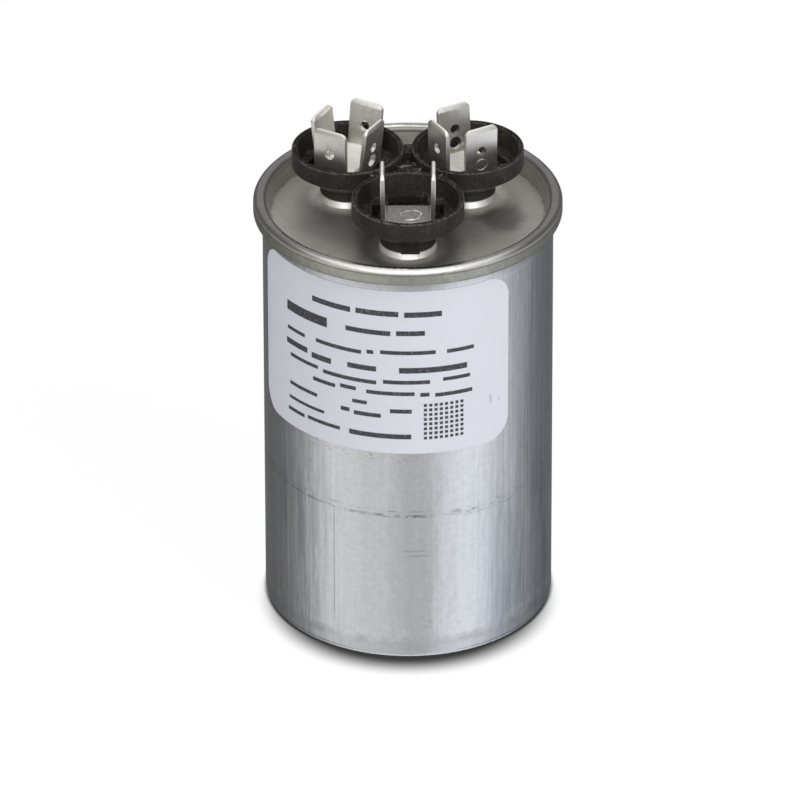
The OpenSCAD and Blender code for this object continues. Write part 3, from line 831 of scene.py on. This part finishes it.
@dataclass(frozen=True)
class BrightTin(Finish):
    """Bright tin on the pressed tabs, with faint rolling lines, rubbed patches, a scraped weld plate, painted
    light and painted shade.
    """

    colour: Colour = (0.745, 0.73, 0.685)
    rubbed_colour: Colour = (0.42, 0.41, 0.385)
    speck_colour: Colour = (0.09, 0.085, 0.075)
    scraped_colour: Colour = (0.44, 0.435, 0.415)
    painted_light_colour: Colour = (0.95, 0.93, 0.885)
    roughness: float = 0.34
    metallic: float = 0.9
    rear_left: Span = (1.0, -1.0)
    rear_depth: Span = (5.5, 8.0)
    fan_depth: Span = (-7.5, -8.0)
    struck_centre: Point = (12.87, 1.91, 84.5)
    struck_radius: float = 1.15
    bored_centres: Sequence[Point] = ((12.69, 2.22, 87.09), (8.07, 10.2, 87.04))
    bored_reach: Span = (0.95, 1.02)
    bright_right: Span = (9.0, 10.5)
    bright_depth: Span = (5.5, 4.0)
    bright_height: Span = (86.4, 87.4)
    low_start: Span = (83.0, 83.4)
    low_end: Span = (86.6, 85.4)

    def paint(self, graph: Graph) -> dict[str, Any]:
        """Rolling lines, wear, weld plate, painted light and painted shade of the tabs.

        Args:
            graph: Where the nodes go.

        Returns:
            Values or signals by the shader's socket names.
        """
        x, y, z = graph.axes
        lines = graph.noise(4.5, 3.0, at=graph.vector(x, y, z * 0.06))
        mottle = graph.noise(0.9, 3.0, 0.6)
        fine = graph.noise(7.0, 2.0)
        # Painted light: the rear-left tabs are paler.
        rear = y.step(*self.rear_depth) * x.step(*self.rear_left)
        base = graph.tint(graph.mix(self.colour, self.painted_light_colour, rear), 0.84 + 0.16 * lines + 0.16 * fine)
        rub = 0.3 * mottle.step(0.5, 0.72)
        base = graph.mix(base, self.rubbed_colour, rub)
        specks = graph.specks(0.9, 0.075) * mottle.step(0.42, 0.55)
        pits = graph.specks(2.1, 0.17) * mottle.step(0.44, 0.58)
        base = graph.mix(base, self.speck_colour, 0.7 * specks.at_least(0.7 * pits))

        plate = z.step(CUP_FLOOR + 0.2, CUP_FLOOR + 0.05) * y.step(*self.fan_depth)
        scraped = graph.noise(2.3, 5.0, 0.75, at=graph.vector(x * 1.1 + y * 0.3, y * 1.7, z))
        scraped_tin = graph.tint(self.scraped_colour, 0.6 + 0.7 * scraped.step(0.35, 0.65))
        base = graph.mix(base, scraped_tin, 0.9 * plate)
        # Painted highlight: a pale ring round the struck mark.
        struck = graph.distance(self.struck_centre).band(self.struck_radius, 0.08, 0.1)
        base = graph.mix(base, self.painted_light_colour, 0.9 * struck)

        # Painted light: upward faces and a patch high on the right tabs are paler.
        lit_upward = graph.upward() * (1.0 - plate)
        bright = x.step(*self.bright_right) * y.step(*self.bright_depth) * z.step(*self.bright_height)
        base = graph.mix(base, self.painted_light_colour, 0.7 * lit_upward.at_least(bright))
        # Painted shade: the tabs are darker low down in the cups, broken by speckles.
        low = z.step(*self.low_end) * z.step(*self.low_start) * (1.0 - lit_upward)
        speckled = graph.noise(3.2, 4.0, 0.7).step(0.46, 0.6)
        base = graph.tint(base, 1.0 - low * (0.17 + 0.2 * speckled))
        scratched = graph.strokes(25.0, 2.4, 0.59).at_least(graph.strokes(140.0, 1.7, 0.6))
        base = graph.mix(base, self.rubbed_colour, 0.2 * lit_upward * scratched)
        # Painted shade: the inside of each hole is darker.
        for centre in self.bored_centres:
            base = graph.tint(base, 0.25 + 0.75 * graph.distance(centre).step(*self.bored_reach))
        return {
            "Base Color": base,
            "Metallic": self.metallic - 0.7 * lit_upward,
            "Roughness": self.roughness - 0.05 + 0.1 * fine + 0.2 * rub,
            "Normal": graph.bump(lines + 1.5 * scraped * plate, 0.01, 0.4),
        }


@dataclass(frozen=True)
class LabelFilm(Finish):
    """Pale bluish label film, semi-matte, with faint handling marks; a smudge has a place along and up."""

    colour: Colour = (0.757, 0.775, 0.84)
    mark_colour: Colour = (0.30, 0.31, 0.34)
    roughness: float = 0.42
    specular: float = 0.4
    label_radius: float = 25.5
    smudges: Sequence[tuple[Band, Band]] = (
        ((15.1, 0.1, 0.4), (50.6, 0.6, 0.7)),
        ((17.0, 0.05, 0.2), (50.2, 0.3, 0.5)),
    )

    def paint(self, graph: Graph) -> dict[str, Any]:
        """Fibres, smudges and dots of the label.

        Args:
            graph: Where the nodes go.

        Returns:
            Values or signals by the shader's socket names.
        """
        z = graph.axes[2]
        arc = graph.turn * self.label_radius
        cloud = graph.noise(0.2, 3.0)
        fibre = graph.noise(3.0, 3.0)
        base = graph.tint(self.colour, 0.955 + 0.05 * cloud + 0.04 * fibre)
        torn = graph.noise(1.7, 4.0, 0.75, at=graph.vector(arc * 1.6, 0.0, z)).step(0.42, 0.6)
        smudge = torn * sum(arc.band(*along) * z.band(*up) for along, up in self.smudges)
        dots = graph.specks(0.5, 0.06) * cloud.step(0.5, 0.62)
        return {
            "Base Color": graph.mix(base, self.mark_colour, (0.6 * smudge + 0.4 * dots).at_most(0.6)),
            "Roughness": self.roughness - 0.03 + 0.08 * fibre,
            "Specular IOR Level": self.specular,
            "Normal": graph.bump(fibre, 0.006, 0.3),
        }


@dataclass(frozen=True)
class PrintInk(Finish):
    """Dark printing ink with thin places."""

    colour: Colour = (0.045, 0.047, 0.055)
    thin_colour: Colour = (0.16, 0.165, 0.18)
    roughness: float = 0.45
    specular: float = 0.4

    def paint(self, graph: Graph) -> dict[str, Any]:
        """Ink and its thin places.

        Args:
            graph: Where the nodes go.

        Returns:
            Values or signals by the shader's socket names.
        """
        thin = graph.noise(2.5, 3.0).step(0.5, 0.75)
        return {
            "Base Color": graph.mix(self.colour, self.thin_colour, thin),
            "Roughness": self.roughness + 0.1 * thin,
            "Specular IOR Level": self.specular,
        }


@dataclass(frozen=True)
class Mottled(Finish):
    """A plain material of the inside, with a cloudy colour and a fine grain."""

    colour: Colour
    second_colour: Colour
    roughness: float
    metallic: float = 0.0
    scale: float = 1.0
    grain_depth: float = 0.02

    def paint(self, graph: Graph) -> dict[str, Any]:
        """Cloud and grain.

        Args:
            graph: Where the nodes go.

        Returns:
            Values or signals by the shader's socket names.
        """
        cloud = graph.noise(0.4 * self.scale, 3.0)
        grain = graph.noise(4.0 * self.scale, 3.0, 0.6)
        patches = (0.6 * cloud + 0.5 * grain).step(0.35, 0.75)
        return {
            "Base Color": graph.mix(self.colour, self.second_colour, patches),
            "Metallic": self.metallic,
            "Roughness": self.roughness - 0.06 + 0.12 * grain,
            "Normal": graph.bump(grain, self.grain_depth, 0.5),
        }


@dataclass(frozen=True)
class WoundFilm(Finish):
    """Edge of a roll of metallised film: fine rings about the can's axis."""

    colour: Colour = (0.62, 0.66, 0.72)
    line_colour: Colour = (0.36, 0.40, 0.47)
    roughness: float = 0.28
    metallic: float = 0.6
    turns_per_mm: float = 3.0

    def paint(self, graph: Graph) -> dict[str, Any]:
        """Rings and drift of the film's edge.

        Args:
            graph: Where the nodes go.

        Returns:
            Values or signals by the shader's socket names.
        """
        radius = graph.radius
        rings = (radius * (2.0 * math.pi * self.turns_per_mm)).sine() * 0.5 + 0.5
        drift = graph.noise(1.2, 3.0, at=graph.vector(radius, 0.0, graph.axes[2] * 0.05))
        return {
            "Base Color": graph.mix(self.colour, self.line_colour, 0.5 * rings + 0.3 * drift),
            "Metallic": self.metallic,
            "Roughness": self.roughness + 0.1 * drift,
        }


class Mesh:
    """Helpers that turn a bmesh into an object, or into a piece that rides on the part."""

    @staticmethod
    def added(name: str, shape: bmesh.types.BMesh, material: bpy.types.Material) -> bpy.types.Object:
        """Make an object from a bmesh.

        Args:
            name: The object's name.
            shape: Its mesh in metres; freed here.
            material: Its material.

        Returns:
            The new object, in the scene.
        """
        mesh = bpy.data.meshes.new(name)
        shape.to_mesh(mesh)
        shape.free()
        mesh.materials.append(material)
        made = bpy.data.objects.new(name, mesh)
        bpy.context.scene.collection.objects.link(made)
        return made

    @staticmethod
    def piece(name: str, shape: bmesh.types.BMesh, material: bpy.types.Material, slot: str,
              smooth_angle: float = 35.0) -> bpy.types.Object:
        """Make an object from a bmesh and put it on the part.

        Args:
            name: The piece's name.
            shape: Its mesh in metres; freed here.
            material: Its material.
            slot: Not used.
            smooth_angle: Edges sharper than this many degrees stay sharp.

        Returns:
            The new object.
        """
        limit = math.radians(smooth_angle)
        least = math.radians(FLAT_ANGLE)
        widest = WIDE_FACE * MM * MM
        for edge in shape.edges:
            edge.smooth = len(edge.link_faces) == 2 and edge.calc_face_angle(0.0) < limit
        for face in shape.faces:
            bends = [e.calc_face_angle(0.0) for e in face.edges if len(e.link_faces) == 2]
            face.smooth = any(least < bend < limit for bend in bends) and face.calc_area() < widest
        made = Mesh.added(name, shape, material)
        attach(made, BODY)
        LOG.info("piece %s: %d faces", name, len(made.data.polygons))
        return made

    @staticmethod
    def eased_copy(node: str, ease: float, crease: float = 40.0) -> bmesh.types.BMesh:
        """Copy a solid's mesh and ease its outer edges.

        Args:
            node: Name of the solid.
            ease: Width of the eased edge in millimetres.
            crease: Edges that bend out by more than this many degrees are eased.

        Returns:
            The eased mesh in metres.
        """
        shape = bmesh.new()
        shape.from_mesh(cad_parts[node].data)
        bmesh.ops.remove_doubles(shape, verts=shape.verts, dist=MERGE_GAP * MM)
        flat = math.radians(SAME_PLANE)
        bmesh.ops.dissolve_limit(shape, angle_limit=flat, verts=shape.verts, edges=shape.edges)
        least = math.radians(crease)
        joins = [e for e in shape.edges if len(e.link_faces) == 2 and e.is_convex]
        holes, outlines = Mesh._sorted_loops([e for e in joins if e.calc_face_angle(0.0) > least])
        for group, width in ((holes, HOLE_EASE), (outlines, ease)):
            bmesh.ops.bevel(shape, geom=group, offset=width * MM, offset_type="OFFSET", segments=2,
                            profile=0.5, affect="EDGES", clamp_overlap=True, material=-1)
        return shape

    @staticmethod
    def _sorted_loops(edges: Sequence[bmesh.types.BMEdge]) -> tuple[list[Any], list[Any]]:
        """Sort joined edges into small loops, which are holes, and the rest.

        Args:
            edges: Edges of one mesh.

        Returns:
            The edges of the holes, and the other edges.
        """
        waiting = dict.fromkeys(edges)
        holes: list[bmesh.types.BMEdge] = []
        outlines: list[bmesh.types.BMEdge] = []
        while waiting:
            group = [waiting.popitem()[0]]
            for edge in group:
                joined = [other for vert in edge.verts for other in vert.link_edges if other in waiting]
                for other in joined:
                    del waiting[other]
                group.extend(joined)
            length = sum(edge.calc_length() for edge in group)
            (holes if length < HOLE_LOOP * MM else outlines).extend(group)
        return holes, outlines


@dataclass
class SolidGroup:
    """Solids of the frame that keep their shape and take one finish."""

    nodes: Sequence[str]
    finish: Finish
    finish_name: str

    def dress(self) -> None:
        """Give each solid the group's material."""
        material = self.finish.material(self.finish_name)
        for node in self.nodes:
            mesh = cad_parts[node].data
            mesh.materials.clear()
            mesh.materials.append(material)
            LOG.info("solid %s takes %s", node, self.finish_name)


@dataclass
class Brackets:
    """Pressed tabs of the three terminals, with eased edges and a weld mark on the fan terminal's base."""

    nodes: Sequence[str] = ("common_short_bracket", "common_long_bracket", "compressor_short_bracket",
                            "compressor_single_tab", "fan_bracket")
    slot: str = "tab_tin"
    ease: float = 0.12
    weld_centre: Vector = Vector((0.5, -12.5, CUP_FLOOR))
    weld_radius: float = 1.75
    bead_radius: float = 0.26
    bead_flatness: float = 0.5
    bead_sides: int = 10
    bead_steps: int = 64
    bead_smooth_angle: float = 60.0
    wobble: float = 0.05
    wobble_waves: Sequence[Wave] = ((2.0, 1.0, 0.7), (5.0, 0.6, 0.0), (9.0, 0.4, 1.3))
    swell: float = 0.95
    swell_waves: Sequence[Wave] = ((1.0, 0.35, 0.5 * math.pi), (3.0, 0.3, 0.0), (7.0, 0.2, 0.0))

    def build(self) -> None:
        """Make the eased tabs and the weld's bead."""
        tin = BrightTin().material("bright_tin")
        for node in self.nodes:
            made = Mesh.piece(node + "_eased", Mesh.eased_copy(node, self.ease), tin, self.slot)
            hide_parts(node)
        Mesh.piece("fan_weld_bead", self._bead(), tin, self.slot, self.bead_smooth_angle)

    @staticmethod
    def _ripple(angle: float, waves: Sequence[Wave]) -> float:
        """Sum of some waves at an angle in radians."""
        return sum(size * math.sin(cycles * angle + phase) for cycles, size, phase in waves)

    def _bead(self) -> bmesh.types.BMesh:
        """Make the low uneven bead around the weld.

        Returns:
            Its mesh in metres.
        """
        centre = self.weld_centre * MM
        shape = bmesh.new()
        bmesh.ops.create_circle(shape, segments=self.bead_sides, radius=self.bead_radius * MM)
        ring = [*shape.verts, *shape.edges]
        upright = Matrix.Rotation(math.radians(90.0), 4, "X")
        bmesh.ops.transform(shape, verts=shape.verts, matrix=upright)
        bmesh.ops.scale(shape, verts=shape.verts, vec=(1.0, 1.0, self.bead_flatness))
        bmesh.ops.translate(shape, verts=shape.verts, vec=centre + Vector((self.weld_radius * MM, 0.0, 0.0)))
        bmesh.ops.spin(shape, geom=ring, cent=centre, axis=(0, 0, 1), angle=math.tau,
                       steps=self.bead_steps, use_merge=True)
        bmesh.ops.remove_doubles(shape, verts=shape.verts, dist=MERGE_GAP * MM)
        for vert in shape.verts:
            arm = vert.co - centre
            angle = math.atan2(arm.y, arm.x)
            push = self.wobble * MM * self._ripple(angle, self.wobble_waves)
            swell = self.swell + self._ripple(angle, self.swell_waves)
            out = Vector((arm.x, arm.y, 0.0)).normalized() * push
            vert.co = centre + Vector((arm.x, arm.y, arm.z * swell)) + out
        bmesh.ops.recalc_face_normals(shape, faces=shape.faces)
        return shape


@dataclass(frozen=True)
class Bar:
    """A plain printed bar: its ends from the label's left end, its middle below the top edge, its height."""

    start: float
    end: float
    drop: float
    height: float


@dataclass
class LabelPrint:
    """Plain bars and a square of dots, printed on the label."""

    slot: str = "label_film"
    label_radius: float = 25.5
    label_top: float = 74.5
    label_start: float = -73.5
    ink_height: float = 0.02
    ink_depth: float = 0.03
    step_angle: float = 3.0
    bars: Sequence[Bar] = (
        Bar(14.6, 22.4, 4.6, 1.05), Bar(23.4, 31.0, 4.5, 1.05), Bar(32.0, 38.6, 4.6, 1.05),
        Bar(8.1, 17.8, 8.5, 1.9),
        Bar(21.5, 29.6, 8.4, 0.95), Bar(30.6, 35.6, 8.3, 0.95),
        Bar(8.2, 12.8, 12.9, 0.7), Bar(15.4, 24.4, 12.7, 0.75), Bar(25.4, 26.6, 12.4, 0.75),
        Bar(27.8, 37.5, 12.2, 0.75), Bar(39.5, 44.5, 12.3, 0.75),
        Bar(7.9, 13.4, 15.6, 1.1), Bar(14.4, 18.6, 16.0, 1.1),
        Bar(21.8, 27.1, 15.7, 1.0), Bar(31.1, 43.2, 15.7, 1.1),
        Bar(9.0, 15.8, 18.1, 0.7), Bar(16.9, 27.1, 18.4, 0.75), Bar(28.3, 36.5, 18.1, 0.75),
        Bar(38.8, 43.8, 17.8, 0.7),
        Bar(14.7, 19.4, 20.6, 0.75), Bar(20.4, 23.4, 20.2, 0.75),
        Bar(25.3, 33.8, 20.4, 0.75), Bar(34.8, 36.4, 20.6, 0.75), Bar(37.4, 44.2, 20.8, 0.75),
        Bar(8.8, 15.6, 23.8, 0.7),
        Bar(22.7, 25.4, 22.7, 0.7), Bar(29.5, 33.3, 23.9, 0.8),
        Bar(8.6, 17.1, 26.7, 0.6), Bar(20.5, 22.2, 24.7, 0.8), Bar(23.0, 27.9, 25.0, 0.8),
        Bar(8.3, 12.6, 29.1, 0.7), Bar(13.4, 20.3, 28.9, 0.7), Bar(22.1, 33.2, 29.0, 0.95),
    )
    square_start: float = 35.4
    square_drop: float = 22.3
    square_side: float = 7.5
    square_cells: int = 8
    square_fill: float = 0.6

    def build(self) -> None:
        """Make all bars, and the square of small dots, as one piece."""
        shape = bmesh.new()
        for bar in self.bars:
            self._block(shape, bar)
        cell = self.square_side / self.square_cells
        side = cell * self.square_fill
        for across in range(self.square_cells):
            for down in range(self.square_cells):
                left = self.square_start + across * cell
                self._block(shape, Bar(left, left + side, self.square_drop + (down + 0.5) * cell, side))
        bmesh.ops.recalc_face_normals(shape, faces=shape.faces)
        Mesh.piece("label_print", shape, PrintInk().material("print_ink"), self.slot)

    def _block(self, shape: bmesh.types.BMesh, bar: Bar) -> None:
        """Add one curved block.

        Args:
            shape: Mesh that takes the block.
            bar: Where it lies.
        """
        per_mm = 1.0 / self.label_radius
        start = math.radians(self.label_start) + bar.start * per_mm
        angle = (bar.end - bar.start) * per_mm
        inner = (self.label_radius - self.ink_depth) * MM
        outer = (self.label_radius + self.ink_height) * MM
        low = (self.label_top - bar.drop - 0.5 * bar.height) * MM
        high = (self.label_top - bar.drop + 0.5 * bar.height) * MM
        ahead = Vector((math.sin(start), -math.cos(start), 0.0))
        corners = [ahead * r + Vector((0.0, 0.0, z)) for r, z in
                   ((inner, low), (outer, low), (outer, high), (inner, high))]
        verts = [shape.verts.new(corner) for corner in corners]
        face = shape.faces.new(verts)
        steps = max(1, math.ceil(math.degrees(angle) / self.step_angle))
        bmesh.ops.spin(shape, geom=[face, *face.edges, *verts], cent=(0, 0, 0), axis=(0, 0, 1), angle=angle,
                       steps=steps, use_duplicate=False)


def aimed(name: str, data: bpy.types.ID, place: Vector, back: Vector, roll: float = 0.0) -> bpy.types.Object:
    """Add a lamp or a camera to the scene.

    Args:
        name: The object's name.
        data: The lamp or camera.
        place: Where it stands, in metres.
        back: Unit vector against the way it looks.
        roll: Degrees about the way it looks.

    Returns:
        The new object.
    """
    made = bpy.data.objects.new(name, data)
    made.location = place
    made.rotation_mode = "QUATERNION"
    spin = Matrix.Rotation(math.radians(roll), 3, "Z").to_quaternion()
    made.rotation_quaternion = (-back).to_track_quat("-Z", "Y") @ spin
    bpy.context.scene.collection.objects.link(made)
    return made


@dataclass(frozen=True)
class Lamp:
    """A soft square lamp a metre from the part: angles in degrees, power in watts, side in metres."""

    name: str
    azimuth: float
    elevation: float
    power: float
    side: float
    target_height: float = 45.0

    def build(self) -> None:
        """Make the lamp; the tent stands for it in reflections."""
        data = bpy.data.lights.new(self.name, "AREA")
        data.energy = self.power
        data.size = self.side
        back = direction(self.azimuth, self.elevation)
        made = aimed(self.name, data, back + Vector((0.0, 0.0, self.target_height)) * MM, back)
        made.visible_glossy = False


@dataclass(frozen=True)
class Softbox:
    """A soft round patch of light on the studio tent, in degrees; azimuth 0 is the camera's side."""

    azimuth: float
    elevation: float
    core: float
    reach: float
    level: float


@dataclass
class Stage:
    """Floor, light and camera; low_levels gives the tent's light below the horizon, by degrees round it."""

    floor_radius: float = 3000.0
    floor_colour: Colour = (0.82, 0.82, 0.83)
    shadow_radius: float = 20.9
    shadow_start: float = 0.1
    shadow_reach: float = 6.6
    shadow_shift: float = 4.2
    shadow_least: float = 0.045
    contact_radius: float = 24.9
    contact_reach: float = 1.3
    shadow_share: float = 0.1
    glow: Colour = (0.94, 0.94, 0.94)
    ambient: float = 0.42
    tent_radius: float = 1500.0
    tent_level: float = 0.2
    tent_horizon: Span = (0.08, -0.12)
    softboxes: Sequence[Softbox] = (
        Softbox(0.0, 84.0, 22.0, 50.0, 1.1),
        Softbox(0.0, 42.0, 16.0, 38.0, 1.6),
        Softbox(46.0, 34.0, 12.0, 36.0, 0.6),
        Softbox(-48.0, 34.0, 12.0, 36.0, 0.4),
        Softbox(180.0, 34.0, 12.0, 30.0, 0.2),
    )
    low_levels: Sequence[tuple[float, float]] = (
        (-180.0, 0.16), (-158.0, 0.15), (-137.0, 0.12), (-119.0, 0.14), (-98.0, 0.25), (-84.0, 0.43),
        (-72.0, 0.68), (-62.0, 0.86), (-40.0, 0.82), (-20.0, 0.78), (-5.0, 0.61), (10.0, 0.58), (20.0, 0.60),
        (27.0, 0.92), (40.0, 1.08), (48.0, 1.10), (58.0, 0.99), (70.0, 0.77), (82.0, 0.54), (96.0, 0.40),
        (110.0, 0.23), (125.0, 0.155), (140.0, 0.13), (160.0, 0.15), (180.0, 0.16),
    )
    cool_tint: Colour = (0.955, 0.99, 1.05)
    cool_angle: float = 40.0
    lamps: Sequence[Lamp] = (
        Lamp("key", 45.0, 38.0, 4.0, 0.55),
        Lamp("fill", -50.0, 30.0, 1.4, 0.55),
        Lamp("top", 0.0, 80.0, 2.2, 0.6),
    )
    camera_target: Vector = Vector((-1.446, 0.0, 38.05))
    camera_elevation: float = 30.3
    camera_distance: float = 1850.0
    camera_roll: float = -0.127
    camera_lens: float = 472.2
    camera_sight: float = 20.0
    sensor: float = 36.0

    def build(self) -> None:
        """Make everything around the part."""
        bpy.context.scene.view_settings.view_transform = "Standard"
        self._floor()
        self._tent()
        self._world()
        for lamp in self.lamps:
            lamp.build()
        self._camera()

    @staticmethod
    def _shown(graph: Graph) -> Signal:
        """1 for camera, glossy and transmission rays, else 0."""
        return reduce(Signal.at_least, [graph.node("ShaderNodeLightPath", output=ray.value) for ray in Ray])

    def _floor(self) -> None:
        """Pale floor: white to the camera, with the part's shadow."""
        material, graph = Graph.for_material("floor")
        shape = bmesh.new()
        bmesh.ops.create_circle(shape, cap_ends=True, segments=96, radius=self.floor_radius * MM)
        made = Mesh.added("floor", shape, material)
        made.visible_glossy = False
        beside = graph.radius - self.contact_radius
        away = graph.nearest([(0.0, -self.shadow_shift)]) - self.shadow_radius
        soft = away.step(self.shadow_start, self.shadow_reach).at_most(beside.step(0.0, self.contact_reach))
        shade = self.shadow_least + (1.0 - self.shadow_least) * soft
        faint = tuple(self.shadow_share * part for part in self.floor_colour)
        lit = graph.node("ShaderNodeBsdfDiffuse", None, {"Color": (*self.floor_colour, 1.0)}, "BSDF")
        dimmed = graph.node("ShaderNodeBsdfDiffuse", None, {"Color": graph.tint(faint, shade)}, "BSDF")
        glow = graph.node("ShaderNodeEmission", None, {"Color": graph.tint(self.glow, shade)}, "Emission")
        white = graph.node("ShaderNodeAddShader", None, {0: dimmed, 1: glow})
        both = graph.node("ShaderNodeMixShader", None, {0: self._shown(graph), 1: lit, 2: white})
        graph.finish_with("ShaderNodeOutputMaterial", both)

    def _low_colour(self, angle: float, level: float) -> Colour:
        """Colour of the tent below the horizon, cooler on the right.

        Args:
            angle: Degrees round from the camera's side.
            level: Brightness there.

        Returns:
            The colour.
        """
        share = min(max(angle / self.cool_angle, 0.0), 1.0)
        red, green, blue = (level * (1.0 + share * (tint - 1.0)) for tint in self.cool_tint)
        return (red, green, blue)

    def _tent(self) -> None:
        """Studio tent with soft patches of light, which the metal and the plastic mirror."""
        material, graph = Graph.for_material("tent")
        shape = bmesh.new()
        bmesh.ops.create_uvsphere(shape, u_segments=64, v_segments=32, radius=self.tent_radius * MM)
        made = Mesh.added("tent", shape, material)
        for kind in ("camera", "diffuse", "shadow", "transmission", "volume_scatter"):
            setattr(made, "visible_" + kind, False)
        way = graph.vector_maths(VectorMaths.NORMALIZE, graph.place)
        level: Operand = self.tent_level
        for box in self.softboxes:
            facing = graph.vector_maths(VectorMaths.DOT, way, direction(box.azimuth, box.elevation))
            fade = [math.cos(math.radians(angle)) for angle in (box.reach, box.core)]
            level = facing.step(*fade) * box.level + level
        turn = graph.turn / math.tau + 0.5
        stops = [(angle / 360.0 + 0.5, self._low_colour(angle, dim)) for angle, dim in self.low_levels]
        below = graph.node("ShaderNodeValToRGB", {"stops": stops}, {0: turn}, "Color")
        low = graph.parts(way)[2].step(*self.tent_horizon)
        colour = graph.mix(graph.vector(level, level, level), below, low)
        glow = graph.node("ShaderNodeEmission", None, {"Color": colour}, "Emission")
        graph.finish_with("ShaderNodeOutputMaterial", glow)

    def _world(self) -> None:
        """White behind the floor, with a soft light all round."""
        world = bpy.data.worlds.new("studio")
        world.use_nodes = True
        bpy.context.scene.world = world
        graph = Graph(world.node_tree)
        strength = self.ambient + self._shown(graph) * (1.0 - self.ambient)
        inputs = {"Color": (1.0, 1.0, 1.0, 1.0), "Strength": strength}
        graph.finish_with("ShaderNodeOutputWorld", graph.node("ShaderNodeBackground", None, inputs))

    def _camera(self) -> None:
        """Camera at the photograph's angle, for a square image."""
        data = bpy.data.cameras.new("camera")
        data.sensor_width = self.sensor
        data.lens = self.camera_lens
        data.clip_end = self.camera_sight
        back = direction(0.0, self.camera_elevation)
        place = (self.camera_target + back * self.camera_distance) * MM
        bpy.context.scene.camera = aimed("camera", data, place, back, self.camera_roll)


def inner_groups() -> Iterable[SolidGroup]:
    """Solids inside the can, each with its finish.

    Returns:
        The groups in the order in which they are dressed.
    """
    cups = ("common", "compressor", "fan")
    yield SolidGroup(["seam_gasket"], Mottled((0.09, 0.09, 0.09), (0.05, 0.05, 0.05), 0.7), "gasket_rubber")
    yield SolidGroup([cup + "_stud" for cup in cups],
                     Mottled((0.62, 0.62, 0.62), (0.5, 0.5, 0.5), 0.3, 1.0, 2.0), "stud_steel")
    yield SolidGroup([cup + "_seal" for cup in cups],
                     Mottled((0.05, 0.05, 0.05), (0.03, 0.03, 0.03), 0.6), "seal_rubber")
    yield SolidGroup([cup + "_washer" for cup in cups],
                     Mottled((0.60, 0.47, 0.31), (0.48, 0.36, 0.22), 0.8, 0.0, 2.0), "washer_board")
    yield SolidGroup([cup + "_lead" for cup in cups],
                     Mottled((0.72, 0.5, 0.37), (0.74, 0.66, 0.58), 0.3, 1.0, 1.5), "lead_copper")
    yield SolidGroup(["interrupter_disc"], Mottled((0.36, 0.21, 0.12), (0.26, 0.15, 0.08), 0.6), "disc_board")
    yield SolidGroup(["insulating_sleeve", "base_insulator", "winding_barrier", "winding_core"],
                     Mottled((0.80, 0.79, 0.73), (0.72, 0.71, 0.65), 0.45, 0.0, 0.5), "liner_plastic")
    yield SolidGroup(["inner_winding", "outer_winding"], WoundFilm(), "winding_film")
    yield SolidGroup(["inner_end_spray", "outer_end_spray", "base_end_spray"],
                     Mottled((0.44, 0.45, 0.47), (0.32, 0.33, 0.35), 0.65, 0.8, 3.0, 0.08), "spray_zinc")


def main() -> None:
    """Dress the part and light it."""
    logging.basicConfig(level=logging.INFO, format="%(name)s: %(message)s")
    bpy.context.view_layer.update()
    SolidGroup(["can"], DrawnAluminium(), "drawn_aluminium").dress()
    SolidGroup(["lid"], TinPlate(), "tin_plate").dress()
    SolidGroup(["terminal_block"], MouldedPlastic(), "moulded_plastic").dress()
    SolidGroup(["label"], LabelFilm(), "label_film").dress()
    for group in inner_groups():
        group.dress()
    Brackets().build()
    LabelPrint().build()
    Stage().build()


if __name__ == "__main__":
    main()
